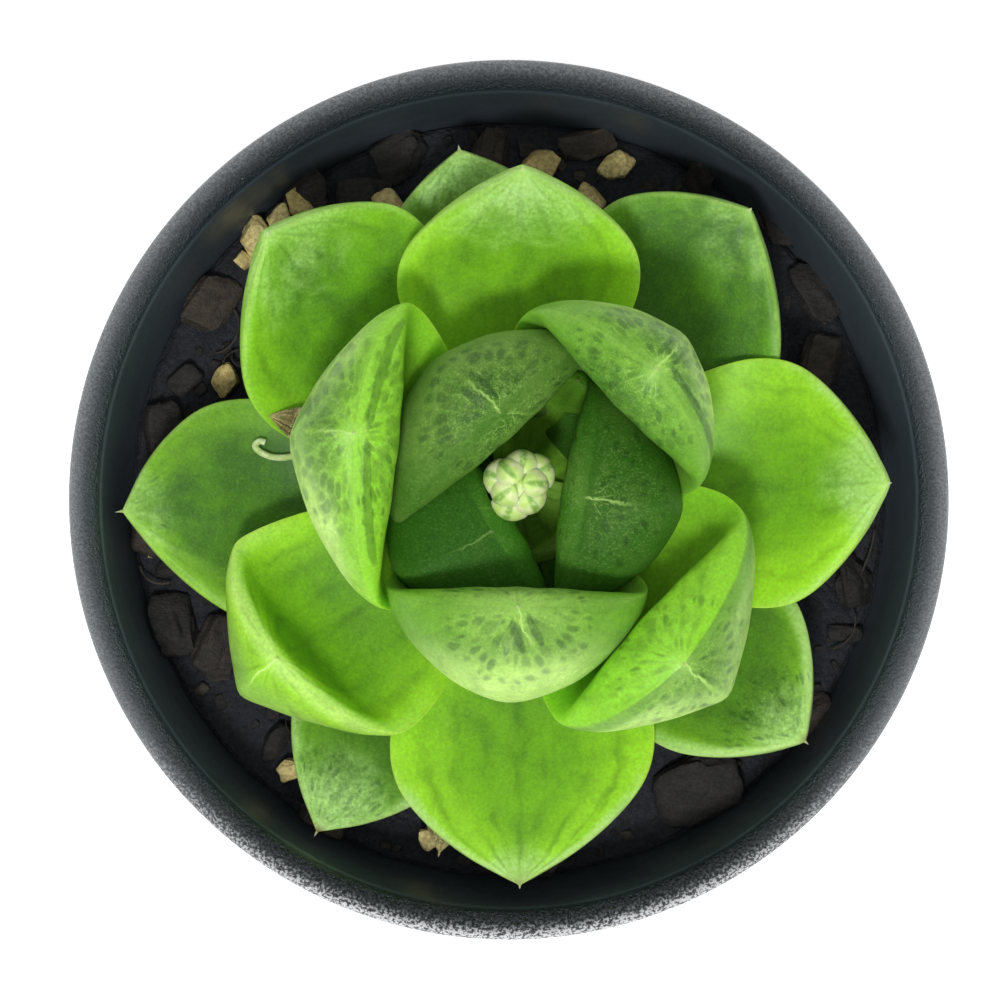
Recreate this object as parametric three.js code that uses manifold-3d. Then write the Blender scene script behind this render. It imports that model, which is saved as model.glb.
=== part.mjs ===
// Potted haworthia: a soft, glossy-leaved rosette in a round plastic nursery pot.
// Millimetres, +Z up. The origin is the middle of the pot's foot, on the surface it stands on.
// +X is the right and -Y the bottom of the view straight down on the plant.

import * as THREE from "three";
import { mergeVertices } from "three/addons/utils/BufferGeometryUtils.js";
import Module from "manifold-3d";

const wasm = await Module();
wasm.setup();

// Sizes of the pot
const POT_HEIGHT = 70;
const RIM_RADIUS = 42.5; // outside of the rim, an 85 mm pot
const RIM_WIDTH = 3.3; // across the rounded top of the rim
const COLLAR_DROP = 9; // the thicker band under the rim
const FOOT_RADIUS = 29.5;
const WALL = 1.6;
const FLOOR = 2.2;
const FOOT_LIFT = 2; // the floor stands clear of the table inside the foot ring
const FOOT_RING = 4.5; // width of the ring that the pot stands on
const DRAIN_RADIUS = 2.6;
const DRAIN_CIRCLE = 15;
const DRAINS = 6;

// Sizes of the filling and the stem
const GAP = 0.3; // clearance kept between neighbouring pieces
const SOIL_TOP = 57.4;
const STEM_RADIUS = 2.4;
const STEM_FOOT = 46;
const STEM_TOP = 69.4;

// The rosette's own axis stands a little off the pot's
const HEART = new THREE.Vector2(0.9, 1.6);
const LEAF_FOOT_RADIUS = 2;
const LOWEST_LEAF = 60.2; // height where the outermost leaf leaves the stem
const LEAF_STEP = 0.5; // rise along the stem from one leaf to the next
const AWN_RADIUS = 0.2; // the short stiff bristle that ends every leaf
const AWN_LENGTH = 1.0;

// One seeded stream of numbers for everything that is scattered
let seed = 20417;
function random(low = 0, high = 1) {
  seed = (Math.imul(seed, 1664525) + 1013904223) >>> 0;
  return low + (high - low) * (seed / 4294967296);
}

const radians = THREE.MathUtils.degToRad;

// A smooth curve through the points [where, height], for outlines along a leaf
function along(keys, t) {
  let i = 0;
  while (i < keys.length - 2 && t > keys[i + 1][0]) i += 1;
  const slope = (a, b) => (keys[b][1] - keys[a][1]) / (keys[b][0] - keys[a][0]);
  const last = keys.length - 1;
  const tangent = (k) =>
    k === 0 ? slope(0, 1) : k === last ? slope(last - 1, last) : (slope(k - 1, k) + slope(k, k + 1)) / 2;
  const h = keys[i + 1][0] - keys[i][0];
  const s = THREE.MathUtils.clamp((t - keys[i][0]) / h, 0, 1);
  return (
    (1 + 2 * s) * (1 - s) ** 2 * keys[i][1] +
    s * (1 - s) ** 2 * h * tangent(i) +
    s * s * (3 - 2 * s) * keys[i + 1][1] +
    s * s * (s - 1) * h * tangent(i + 1)
  );
}

// A closed body for cutting and joining, from any closed geometry
function solidOf(geometry) {
  const bare = new THREE.BufferGeometry();
  bare.setAttribute("position", geometry.getAttribute("position"));
  if (geometry.index) bare.setIndex(geometry.index);
  const merged = mergeVertices(bare, 1e-4);
  const spots = merged.getAttribute("position").array;
  const faces = [];
  let volume = 0;
  const corner = [new THREE.Vector3(), new THREE.Vector3(), new THREE.Vector3()];
  for (let i = 0; i < merged.index.count; i += 3) {
    const [a, b, c] = [0, 1, 2].map((k) => merged.index.getX(i + k));
    if (a === b || b === c || c === a) continue;
    [a, b, c].forEach((v, k) => corner[k].fromArray(spots, 3 * v));
    volume += corner[0].dot(corner[1].clone().cross(corner[2]));
    faces.push([a, b, c]);
  }
  const turned = volume < 0 ? faces.map(([a, b, c]) => [a, c, b]) : faces;
  const mesh = new wasm.Mesh({
    numProp: 3,
    vertProperties: new Float32Array(spots),
    triVerts: new Uint32Array(turned.flat()),
  });
  mesh.merge();
  return new wasm.Manifold(mesh);
}

// A body turned round an upright axis from an outline of [radius, height]
function turnedSolid(profile, segments, x = 0, y = 0) {
  const points = profile.map(([r, z]) => new THREE.Vector2(r, z));
  const turned = new THREE.LatheGeometry(points, segments).rotateX(Math.PI / 2);
  return solidOf(turned.translate(x, y, 0));
}

// The biggest of the bodies that a cut leaves
function biggest(solid) {
  const bodies = solid.decompose();
  return bodies.reduce((best, body) => (body.volume() > best.volume() ? body : best), bodies[0]);
}

const group = new THREE.Group();

function place(name, solid, colour, roughness) {
  const mesh = solid.getMesh();
  const geometry = new THREE.BufferGeometry();
  const spots = new Float32Array((mesh.vertProperties.length / mesh.numProp) * 3);
  for (let i = 0; i < spots.length / 3; i += 1) {
    for (let k = 0; k < 3; k += 1) spots[3 * i + k] = mesh.vertProperties[mesh.numProp * i + k];
  }
  geometry.setAttribute("position", new THREE.BufferAttribute(spots, 3));
  geometry.setIndex(new THREE.BufferAttribute(new Uint32Array(mesh.triVerts), 1));
  geometry.computeVertexNormals();
  const material = new THREE.MeshStandardMaterial({ color: colour, roughness, metalness: 0 });
  const piece = new THREE.Mesh(geometry, material);
  piece.name = name;
  group.add(piece);
}

// A skin over rings of points, closed by a point at each end
function skin(start, rings, end) {
  const points = [start, ...rings.flat(), end];
  const sides = rings[0].length;
  const faces = [];
  const at = (ring, side) => 1 + ring * sides + (side % sides);
  for (let side = 0; side < sides; side += 1) {
    faces.push(0, at(0, side + 1), at(0, side));
    faces.push(points.length - 1, at(rings.length - 1, side), at(rings.length - 1, side + 1));
    for (let ring = 0; ring < rings.length - 1; ring += 1) {
      faces.push(at(ring, side), at(ring, side + 1), at(ring + 1, side));
      faces.push(at(ring, side + 1), at(ring + 1, side + 1), at(ring + 1, side));
    }
  }
  const geometry = new THREE.BufferGeometry().setFromPoints(points);
  geometry.setIndex(faces);
  return geometry;
}

// Leaf outlines. Each list runs from the leaf's foot at 0 to its tip at 1.
// Blunt leaves end like the bow of a boat; pointed ones taper over their last third.
const BLUNT = {
  width: [
    [0, 0.4], [0.2, 0.6], [0.42, 0.9], [0.6, 1], [0.76, 0.96],
    [0.88, 0.74], [0.95, 0.44], [0.985, 0.18], [1, 0],
  ],
  back: [
    [0, 0.55], [0.25, 0.7], [0.5, 0.9], [0.7, 1], [0.84, 0.97],
    [0.92, 0.82], [0.97, 0.55], [0.99, 0.32], [1, 0],
  ],
  face: [
    [0, 0.3], [0.3, 0.1], [0.55, 0.1], [0.72, 0.5], [0.82, 0.9],
    [0.9, 1], [0.96, 0.76], [0.99, 0.4], [1, 0],
  ],
};
const POINTED = {
  width: [
    [0, 0.36], [0.2, 0.56], [0.42, 0.86], [0.6, 1], [0.74, 0.93],
    [0.85, 0.68], [0.93, 0.38], [0.975, 0.14], [1, 0],
  ],
  back: [
    [0, 0.55], [0.25, 0.75], [0.5, 0.95], [0.7, 1],
    [0.85, 0.88], [0.93, 0.62], [0.98, 0.28], [1, 0],
  ],
  face: [
    [0, 0.3], [0.3, 0.15], [0.55, 0.25], [0.78, 0.75],
    [0.9, 0.72], [0.97, 0.35], [1, 0],
  ],
};
const HOLLOW = [[0, 1], [0.5, 1], [0.75, 0.75], [0.9, 0.35], [1, 0]]; // how far the margins stand up
const KEEL = [[0, 0], [0.5, 0.05], [0.8, 0.3], [1, 0.5]]; // how sharp the ridge under the leaf is

// The midline of a leaf: where it is, its heading and its own up and sideways directions
function midline(leaf, t) {
  const foot = new THREE.Vector2(leaf.foot ?? LEAF_FOOT_RADIUS, leaf.low);
  const tip = new THREE.Vector2(leaf.reach, leaf.top);
  const chord = foot.distanceTo(tip);
  const heading = (degrees, length) =>
    new THREE.Vector2(Math.cos(radians(degrees)), Math.sin(radians(degrees))).multiplyScalar(length);
  const first = foot.clone().add(heading(leaf.rise[0], chord * leaf.pull[0]));
  const second = tip.clone().sub(heading(leaf.rise[1], chord * leaf.pull[1]));
  const bend = new THREE.CubicBezierCurve(foot, first, second, tip);
  const { x: r, y: z } = bend.getPoint(t);
  const slope = bend.getTangent(THREE.MathUtils.clamp(t, 0.001, 0.999));
  const a = radians(leaf.turn);
  const outward = new THREE.Vector3(Math.cos(a), Math.sin(a), 0);
  const side = new THREE.Vector3(-Math.sin(a), Math.cos(a), 0);
  const spot = new THREE.Vector3(HEART.x, HEART.y, z).addScaledVector(outward, r);
  spot.addScaledVector(side, leaf.sweep * t * t);
  const onward = outward.clone().multiplyScalar(slope.x).setZ(slope.y);
  const up = outward.clone().multiplyScalar(-slope.y).setZ(slope.x);
  return { spot, onward, up, side };
}

// Height of the leaf's skin over its midline plane, at an angle round its section
function section(leaf, t, angle, half, grow) {
  const x = Math.cos(angle);
  const wider = Math.min(half / Math.max(half - grow, 0.1), 1.4);
  const lift = Math.abs(Math.sin(angle));
  const keel = THREE.MathUtils.clamp(leaf.keel * along(KEEL, t), 0, 1);
  const ridge = Math.max(0, 1.1 - Math.sqrt(x * x + 0.01));
  const under = (1 - keel) * lift + keel * ridge * Math.min(1, 2.5 * lift);
  const face = (leaf.face * along(leaf.form.face, t) + grow) * lift;
  const back = -(leaf.back * along(leaf.form.back, t) + grow) * under;
  return (Math.sin(angle) >= 0 ? face : back) + leaf.hollow * along(HOLLOW, t) * (x * wider) ** 2;
}

// A fleshy leaf: a hollowed upper face, a keeled back and a bristle at the tip.
// grow swells it evenly, for the room that its neighbours leave around it.
function leafSolid(leaf, grow = 0) {
  const stations = leaf.stations ?? 12;
  const sides = leaf.sides ?? 12;
  const rings = [];
  for (let i = 0; i < stations; i += 1) {
    const t = 0.988 * (1 - (1 - i / (stations - 1)) ** 1.45);
    const { spot, onward, up, side } = midline(leaf, t);
    if (i === 0) spot.addScaledVector(onward, -grow);
    const half = leaf.width * along(leaf.form.width, t) + grow;
    const ring = [];
    for (let k = 0; k < sides; k += 1) {
      const angle = (2 * Math.PI * k) / sides;
      ring.push(
        spot
          .clone()
          .addScaledVector(side, half * Math.cos(angle))
          .addScaledVector(up, section(leaf, t, angle, half, grow)),
      );
    }
    rings.push(ring);
  }
  const end = midline(leaf, 1);
  const awn = leaf.awn ?? AWN_LENGTH;
  const bristle = [];
  for (let k = 0; k < sides; k += 1) {
    const angle = (2 * Math.PI * k) / sides;
    bristle.push(
      end.spot
        .clone()
        .addScaledVector(end.side, (AWN_RADIUS + grow) * Math.cos(angle))
        .addScaledVector(end.up, (AWN_RADIUS + grow) * Math.sin(angle)),
    );
  }
  rings.push(bristle);
  const start = midline(leaf, 0);
  const foot = start.spot.addScaledVector(start.onward, -grow);
  return solidOf(skin(foot, rings, end.spot.clone().addScaledVector(end.onward, awn + grow)));
}

// The pot: a turned body with a rounded rim, a collar under it and a foot ring, with drain holes
function potSolid() {
  const rimMiddle = RIM_RADIUS - RIM_WIDTH / 2;
  const round = RIM_WIDTH / 2;
  const wallTop = POT_HEIGHT - COLLAR_DROP;
  const wallTopRadius = RIM_RADIUS - 2.1;
  const lean = (wallTopRadius - FOOT_RADIUS) / wallTop;
  const outside = (z) => FOOT_RADIUS + lean * z;
  const floorTop = FOOT_LIFT + FLOOR;
  const profile = [
    [0, floorTop],
    [outside(floorTop) - WALL - 1, floorTop],
    [outside(floorTop + 1) - WALL, floorTop + 1],
    [outside(SOIL_TOP) - WALL, SOIL_TOP],
    [RIM_RADIUS - RIM_WIDTH, POT_HEIGHT - round],
  ];
  const steps = 7;
  for (let i = 1; i < steps; i += 1) {
    const a = Math.PI - (Math.PI * i) / steps;
    profile.push([rimMiddle + round * Math.cos(a), POT_HEIGHT - round + round * Math.sin(a)]);
  }
  profile.push(
    [RIM_RADIUS, POT_HEIGHT - round],
    [RIM_RADIUS - 0.3, wallTop + 0.4],
    [RIM_RADIUS - 0.7, wallTop],
    [wallTopRadius, wallTop],
    [outside(1.2), 1.2],
    [FOOT_RADIUS - 0.8, 0],
    [FOOT_RADIUS - FOOT_RING, 0],
    [FOOT_RADIUS - FOOT_RING - 1, FOOT_LIFT],
    [0, FOOT_LIFT],
  );
  let pot = turnedSolid(profile, 48);
  for (let i = 0; i < DRAINS; i += 1) {
    const a = (2 * Math.PI * (i + 0.5)) / DRAINS;
    const drill = new THREE.CylinderGeometry(DRAIN_RADIUS, DRAIN_RADIUS, 4 * FLOOR, 12)
      .rotateX(Math.PI / 2)
      .translate(DRAIN_CIRCLE * Math.cos(a), DRAIN_CIRCLE * Math.sin(a), FOOT_LIFT + FLOOR / 2);
    pot = pot.subtract(solidOf(drill));
  }
  return { pot, insideRadius: (z) => outside(z) - WALL };
}

// Flat, split piece of bark: a crooked five-sided slab
function barkChip(x, y, z, long, wide, thick, turn, tilt) {
  const rim = [];
  for (let k = 0; k < 5; k += 1) {
    const a = (Math.PI * (2 * k + random(-0.5, 0.5))) / 5;
    const u = 0.5 * long * Math.cos(a) * random(0.85, 1.1);
    const v = 0.5 * wide * Math.sin(a) * random(0.85, 1.1);
    rim.push([u, v]);
  }
  const slope = random(-0.15, 0.15);
  const level = (h) => rim.map(([u, v]) => new THREE.Vector3(u, v, h + slope * u));
  const pose = new THREE.Euler(radians(tilt), radians(random(-12, 12)), radians(turn), "ZYX");
  const crown = new THREE.Vector3(0, 0, thick * random(0.5, 0.8));
  const sole = new THREE.Vector3(0, 0, -thick / 2);
  const geometry = skin(sole, [level(-thick / 2), level(thick / 2)], crown);
  geometry.applyMatrix4(new THREE.Matrix4().makeRotationFromEuler(pose));
  return solidOf(geometry.translate(x, y, z));
}

// Rounded crumb of pumice or grit
function crumb(x, y, z, size) {
  const geometry = new THREE.IcosahedronGeometry(size / 2, 0);
  geometry.scale(random(0.85, 1.25), random(0.75, 1.05), random(0.65, 0.9)).rotateZ(random(0, 6.28));
  return solidOf(geometry.translate(x, y, z));
}

// Bark chips that show round the plant: [x, y, long, wide, thick, turn, tilt]
const CHIPS = [
  [-11, 34.5, 6, 4.5, 2.2, 35, 25], [-1.8, 34, 7, 4, 2.4, 80, 35], [-34.5, 6.8, 6, 3.8, 2.4, 95, 20],
  [-30, 19.5, 6.5, 4.5, 2.4, 60, 25], [-33.5, -12.5, 6.5, 5, 2.6, 110, 15], [-29, -15, 7, 4.5, 2.6, 70, 30],
  [19, -29, 9, 6.5, 2.4, 25, 8], [31, 21, 6.5, 4.5, 2.4, 120, 25], [31.5, 13.5, 6, 4.5, 2.2, 75, 30],
  [19, 32, 2.4, 7.5, 2.2, 5, 60], [-20.5, 30, 6, 4, 2, 40, 25], [8, 35.5, 5.5, 3.4, 2, 10, 20],
  [-36, -3, 5, 3.5, 2.2, 85, 20], [34.5, -8, 5.5, 3.5, 2.2, 100, 25], [30, -22, 6, 4, 2.4, 45, 20],
  [-18, -31.5, 6, 4, 2.2, 150, 20], [3, -36, 6, 3.6, 2.2, 175, 20], [27, 27.5, 5, 3.6, 2, 130, 25],
];

// Pale crumbs of pumice in their places: [x, y, size]
const PUMICE = [
  [-20.9, 29.7, 2.3], [-23, 28.1, 2.1], [-25.3, 26.3, 2.8], [-26.6, 24, 1.4], [-12, 29.7, 2.2],
  [3.2, 33.7, 2.6], [8.2, 30, 2.4], [10.8, 33.4, 2.4], [-28.4, 12, 2.2], [-21.8, -27, 2], [-7.9, -34, 1.8],
];

// The filling: a plug that follows the pot's inside, with bark, pumice and grit bedded in its top
function mixSolid(insideRadius, leaves) {
  const bottom = FOOT_LIFT + FLOOR + GAP;
  const around = 32;
  const low = insideRadius(bottom) - 1.4;
  const high = insideRadius(SOIL_TOP) - GAP;
  const ring = (r, z) => {
    const spots = [];
    for (let k = 0; k < around; k += 1) {
      const a = (2 * Math.PI * k) / around;
      const radius = typeof r === "function" ? r(a) : r;
      spots.push(new THREE.Vector3(radius * Math.cos(a), radius * Math.sin(a), z(a)));
    }
    return spots;
  };
  const flat = (z) => () => z;
  const swell = (a, r) => 0.35 * Math.sin(3 * a + r) + 0.3 * Math.sin(7 * a - 2 * r);
  const ripple = (a, r) => 0.25 * Math.sin(11 * a + 5 * r);
  const uneven = (r) => (a) => SOIL_TOP - 0.4 + swell(a, r) + ripple(a, r);
  const rings = [
    ring(low, flat(bottom)),
    ring(insideRadius(bottom + 1.6) - GAP, flat(bottom + 1.6)),
    ring(high - 0.3, flat(SOIL_TOP - 1.6)),
  ];
  for (const r of [high - 0.4, 33, 28.5, 24, 18, 10]) rings.push(ring(r, uneven(r)));
  let mix = solidOf(skin(new THREE.Vector3(0, 0, bottom), rings, new THREE.Vector3(0, 0, SOIL_TOP - 0.4)));

  const bits = [];
  for (const [x, y, ...shape] of CHIPS) bits.push(barkChip(x, y, SOIL_TOP + 0.25, ...shape));
  for (const [x, y, size] of PUMICE) bits.push(crumb(x, y, SOIL_TOP + 0.45, size));
  const spots = CHIPS.map(([x, y]) => [x, y, 4.2]);
  for (let tries = 0; tries < 400 && bits.length < 54; tries += 1) {
    const a = random(0, 2 * Math.PI);
    const r = random(26, high - 2.2);
    const [x, y] = [r * Math.cos(a), r * Math.sin(a)];
    const grit = random() < 0.4;
    const room = grit ? 1.5 : 2.9;
    if (spots.some(([u, v, far]) => Math.hypot(x - u, y - v) < (room + far) / 2 + 0.2)) continue;
    spots.push([x, y, room]);
    if (grit) {
      bits.push(crumb(x, y, SOIL_TOP + 0.1, random(1.1, 1.9)));
    } else {
      const size = [random(2.6, 4.4), random(2, 3), random(1.3, 1.9)];
      bits.push(barkChip(x, y, SOIL_TOP + 0.1, ...size, random(0, 180), random(-30, 30)));
    }
  }
  for (const bit of bits) mix = mix.add(bit);

  // The bark stays inside the pot, and the leaves that lie low bed into it
  const bound = [
    [0, 0],
    [insideRadius(0) - GAP, 0],
    [insideRadius(SOIL_TOP) - GAP, SOIL_TOP],
    [insideRadius(SOIL_TOP) - 0.1, 66],
    [0, 66],
  ];
  mix = mix.intersect(turnedSolid(bound, 48));
  for (const leaf of leaves) mix = mix.subtract(leaf);
  const side = STEM_RADIUS + GAP;
  const hole = [[0, STEM_FOOT - GAP], [side, STEM_FOOT - GAP], [side, 80], [0, 80]];
  return biggest(mix.subtract(turnedSolid(hole, 24, HEART.x, HEART.y)));
}

// The young flower spike: a thin stalk with a tight head of overlapping bracts
function spikeSolid() {
  const stalkFoot = STEM_TOP + GAP;
  const stalk = [
    [0, stalkFoot], [1.3, stalkFoot], [1.1, 74], [1.2, 78.5],
    [2, 80.2], [2.2, 81.8], [1.4, 83.3], [0, 83.8],
  ];
  let spike = turnedSolid(stalk, 10, HEART.x, HEART.y);
  const bracts = 8;
  for (let i = 0; i < bracts; i += 1) {
    const inner = i / (bracts - 1); // 0 for the lowest bract, 1 for the one at the very top
    const bract = {
      turn: 250 + 137.5 * i, sweep: 0, foot: 1.5 - 0.7 * inner, low: 78.6 + 1.6 * inner,
      reach: 1.65 - 1.55 * inner, top: 82.7 + 1.9 * inner, rise: [35, 150], pull: [0.45, 0.4],
      width: 1.6, face: 0.35, back: 0.5, hollow: 0.55, keel: 1.2, form: BLUNT,
      stations: 5, sides: 6, awn: 0.12,
    };
    spike = spike.add(leafSolid(bract));
  }
  return biggest(spike);
}

// The leaves from the heart of the rosette outwards.
// turn: compass angle of the foot; sweep: how far the tip swings sideways; reach, top: where the
// tip is, out from the rosette's axis and up; rise: slope at foot and tip; pull: how far those
// slopes carry; width: half the leaf's breadth; face, back: swelling of its two sides;
// hollow: how high the margins stand; keel: sharpness of the ridge underneath.
const LEAVES = [
  {
    turn: 300, sweep: 0, reach: 7.2, top: 74.2, rise: [40, 75], pull: [0.35, 0.35],
    width: 6.5, face: 1, back: 2, hollow: 2, keel: 1, form: POINTED,
  },
  {
    turn: 60, sweep: 0, reach: 11, top: 77.4, rise: [45, 80], pull: [0.35, 0.35],
    width: 8.5, face: 1, back: 2, hollow: 2, keel: 1, form: POINTED,
  },
  {
    turn: 211, sweep: 2.6, reach: 4.5, top: 82, rise: [46, 100], pull: [0.45, 0.45],
    width: 9.8, face: 2.8, back: 9, hollow: 2.5, keel: 1, form: BLUNT,
  },
  {
    turn: 351, sweep: -0.4, reach: 6.3, top: 84, rise: [41, 108], pull: [0.5, 0.45],
    width: 10.6, face: 3, back: 7.8, hollow: 3, keel: 1, form: BLUNT,
  },
  {
    turn: 132, sweep: -2.9, reach: 5.9, top: 87, rise: [40, 112], pull: [0.45, 0.45],
    width: 12.4, face: 3.4, back: 5.8, hollow: 4, keel: 1, form: BLUNT,
  },
  {
    turn: 269, sweep: 0, reach: 11.2, top: 90, rise: [27, 115], pull: [0.5, 0.45],
    width: 12, face: 3, back: 6.8, hollow: 4.2, keel: 1, form: BLUNT,
  },
  {
    turn: 44, sweep: -1.2, reach: 15.7, top: 91, rise: [34, 92], pull: [0.45, 0.45],
    width: 11.2, face: 4.6, back: 4.6, hollow: 4, keel: 1, form: BLUNT,
  },
  {
    turn: 174, sweep: -2.8, reach: 15.2, top: 90, rise: [32, 100], pull: [0.5, 0.42],
    width: 14, face: 4.4, back: 5.5, hollow: 4.5, keel: 2.2, form: BLUNT,
  },
  {
    turn: 318, sweep: -2.3, reach: 22.1, top: 86, rise: [22, 88], pull: [0.5, 0.4],
    width: 13, face: 5, back: 6.4, hollow: 3.5, keel: 2.2, form: BLUNT,
  },
  {
    turn: 91, sweep: -0.9, reach: 29.2, top: 79, rise: [20, 48], pull: [0.4, 0.35],
    width: 11.5, face: 2.8, back: 4.5, hollow: 2.5, keel: 1, form: POINTED,
  },
  {
    turn: 220, sweep: -2, reach: 28, top: 76, rise: [13, 97], pull: [0.5, 0.45],
    width: 12.1, face: 1.6, back: 6, hollow: 3.2, keel: 2.4, form: BLUNT,
  },
  {
    turn: 0, sweep: 0, reach: 35, top: 74, rise: [15, 50], pull: [0.35, 0.35],
    width: 12, face: 2, back: 4.2, hollow: 2.5, keel: 1, form: POINTED,
  },
  {
    turn: 140.3, sweep: -3, reach: 33, top: 77, rise: [16, 60], pull: [0.35, 0.35],
    width: 12, face: 2, back: 4.2, hollow: 2.5, keel: 1, form: POINTED,
  },
  {
    turn: 272, sweep: -1.2, reach: 38.6, top: 70, rise: [12, 30], pull: [0.35, 0.35],
    width: 12.8, face: 1.6, back: 4, hollow: 2.5, keel: 1, form: POINTED,
  },
  {
    turn: 44, sweep: 3.4, reach: 34, top: 72, rise: [12, 45], pull: [0.35, 0.35],
    width: 11.9, face: 2, back: 4, hollow: 2.5, keel: 1, form: POINTED,
  },
  {
    turn: 190, sweep: -4, reach: 38.2, top: 68, rise: [10, 30], pull: [0.35, 0.35],
    width: 11.2, face: 2, back: 4, hollow: 2, keel: 1, form: POINTED,
  },
  {
    turn: 318, sweep: 0, reach: 37.1, top: 70, rise: [10, 40], pull: [0.35, 0.35],
    width: 10, face: 1.6, back: 4, hollow: 2, keel: 1, form: POINTED,
  },
  {
    turn: 100, sweep: 0, reach: 32.8, top: 68, rise: [8, 35], pull: [0.35, 0.35],
    width: 10, face: 1.8, back: 3.6, hollow: 2, keel: 1, form: POINTED,
  },
  {
    turn: 240, sweep: 0, reach: 39.2, top: 66, rise: [8, 25], pull: [0.35, 0.35],
    width: 9, face: 1.6, back: 3.4, hollow: 2, keel: 1, form: POINTED,
  },
];

// Shrivelled leaves at the foot of the plant, thin and crimped
const DRY_LEAVES = [
  {
    low: 61, turn: 166, sweep: -0.5, reach: 24.8, top: 71, rise: [20, 10], pull: [0.35, 0.3],
    width: 2.8, face: 0.5, back: 0.7, hollow: 1.2, keel: 1, form: POINTED, awn: 0.4,
  },
  {
    low: 59.5, turn: 258, sweep: 0, reach: 37.4, top: 61.5, rise: [2, 4], pull: [0.35, 0.3],
    width: 4.4, face: 0.5, back: 0.6, hollow: 0.8, keel: 1, form: POINTED, awn: 0.4,
  },
];

LEAVES.forEach((leaf, i) => {
  leaf.low = LOWEST_LEAF + LEAF_STEP * (LEAVES.length - 1 - i);
});

// The short stem that carries the leaves, rounded off at its foot
function stemSolid(grow) {
  const radius = STEM_RADIUS + grow;
  const outline = [
    [0, STEM_FOOT - grow], [radius - 1, STEM_FOOT - grow], [radius, STEM_FOOT + 4],
    [radius, STEM_TOP - 1], [radius - 0.6, STEM_TOP + grow], [0, STEM_TOP + grow],
  ];
  return turnedSolid(outline, 20, HEART.x, HEART.y);
}

const { pot, insideRadius } = potSolid();
const stem = stemSolid(0);
const spike = spikeSolid();
const stalkRoom = [
  [0, STEM_TOP], [1.3 + GAP, STEM_TOP], [1.3 + GAP, 77], [3.1, 79], [3.2, 84], [0, 85.5],
];
const spikeRoom = turnedSolid(stalkRoom, 16, HEART.x, HEART.y);

// Each leaf is pressed into by the ones inside it, which leave their own room
const rooms = [stemSolid(GAP), spikeRoom];
const leafSolids = [];
for (const leaf of [...LEAVES, ...DRY_LEAVES]) {
  let solid = leafSolid(leaf);
  for (const room of rooms) solid = solid.subtract(room);
  leafSolids.push(biggest(solid));
  rooms.push(leafSolid(leaf, GAP));
}

place("pot", pot, 0x1d2226, 0.6);
place("potting_mix", mixSolid(insideRadius, rooms.slice(2)), 0x3a2d22, 0.95);
place("stem", stem, 0x8a9a5b, 0.8);
const LEAF_GREENS = [0x2f6b22, 0x4f8f2b, 0x6db52a];
const pad = (n) => String(n).padStart(2, "0");
leafSolids.forEach((solid, i) => {
  const green = LEAF_GREENS[i < 4 ? 0 : i < 7 || i > 13 ? 1 : 2];
  if (i < LEAVES.length) place(`leaf_${pad(i + 1)}`, solid, green, 0.4);
  else place(`dry_leaf_${pad(i + 1 - LEAVES.length)}`, solid, 0x8a6a42, 0.9);
});
place("flower_spike", spike, 0xc8f090, 0.5);

export default group;
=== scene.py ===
import math
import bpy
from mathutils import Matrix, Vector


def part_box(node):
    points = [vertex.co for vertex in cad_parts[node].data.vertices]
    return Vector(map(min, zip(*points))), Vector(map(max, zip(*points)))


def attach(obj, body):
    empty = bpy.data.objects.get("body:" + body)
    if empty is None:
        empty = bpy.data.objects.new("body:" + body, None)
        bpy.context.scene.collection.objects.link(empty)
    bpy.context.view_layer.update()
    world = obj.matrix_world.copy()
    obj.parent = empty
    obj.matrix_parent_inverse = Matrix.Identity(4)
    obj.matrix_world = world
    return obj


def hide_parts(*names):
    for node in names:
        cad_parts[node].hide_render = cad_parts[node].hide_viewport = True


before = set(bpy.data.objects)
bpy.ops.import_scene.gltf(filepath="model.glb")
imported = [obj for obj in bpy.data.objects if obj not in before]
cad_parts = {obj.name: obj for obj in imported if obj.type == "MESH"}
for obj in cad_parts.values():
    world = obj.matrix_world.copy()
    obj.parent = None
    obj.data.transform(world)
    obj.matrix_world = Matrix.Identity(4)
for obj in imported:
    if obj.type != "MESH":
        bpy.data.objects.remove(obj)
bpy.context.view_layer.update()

from types import SimpleNamespace

import bmesh
import bpy
import numpy as np
from mathutils import Matrix, Vector, noise
from mathutils.bvhtree import BVHTree

# Shapes are worked out in millimetres and stored in metres. +X is the right of the picture,
# -Y its bottom, and +Z comes towards the camera.
MM = 0.001
pot_low, pot_high = (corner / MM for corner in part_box("pot"))
mix_low, mix_high = (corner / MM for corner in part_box("potting_mix"))
stem_low, stem_high = (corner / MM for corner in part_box("stem"))

# The pot
POT_HEIGHT = pot_high.z
RIM_RADIUS = pot_high.x
RIM_WIDTH = 3.3
COLLAR_DROP = 9
FOOT_RADIUS = 29.5
WALL = 1.6
FLOOR = 2.2
FOOT_LIFT = 2
FOOT_RING = 4.5
DRAIN_RADIUS = 2.6
DRAIN_CIRCLE = 15
DRAINS = 6
WALL_TOP = POT_HEIGHT - COLLAR_DROP
WALL_TOP_RADIUS = RIM_RADIUS - 2.1
WALL_LEAN = (WALL_TOP_RADIUS - FOOT_RADIUS) / WALL_TOP

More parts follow.
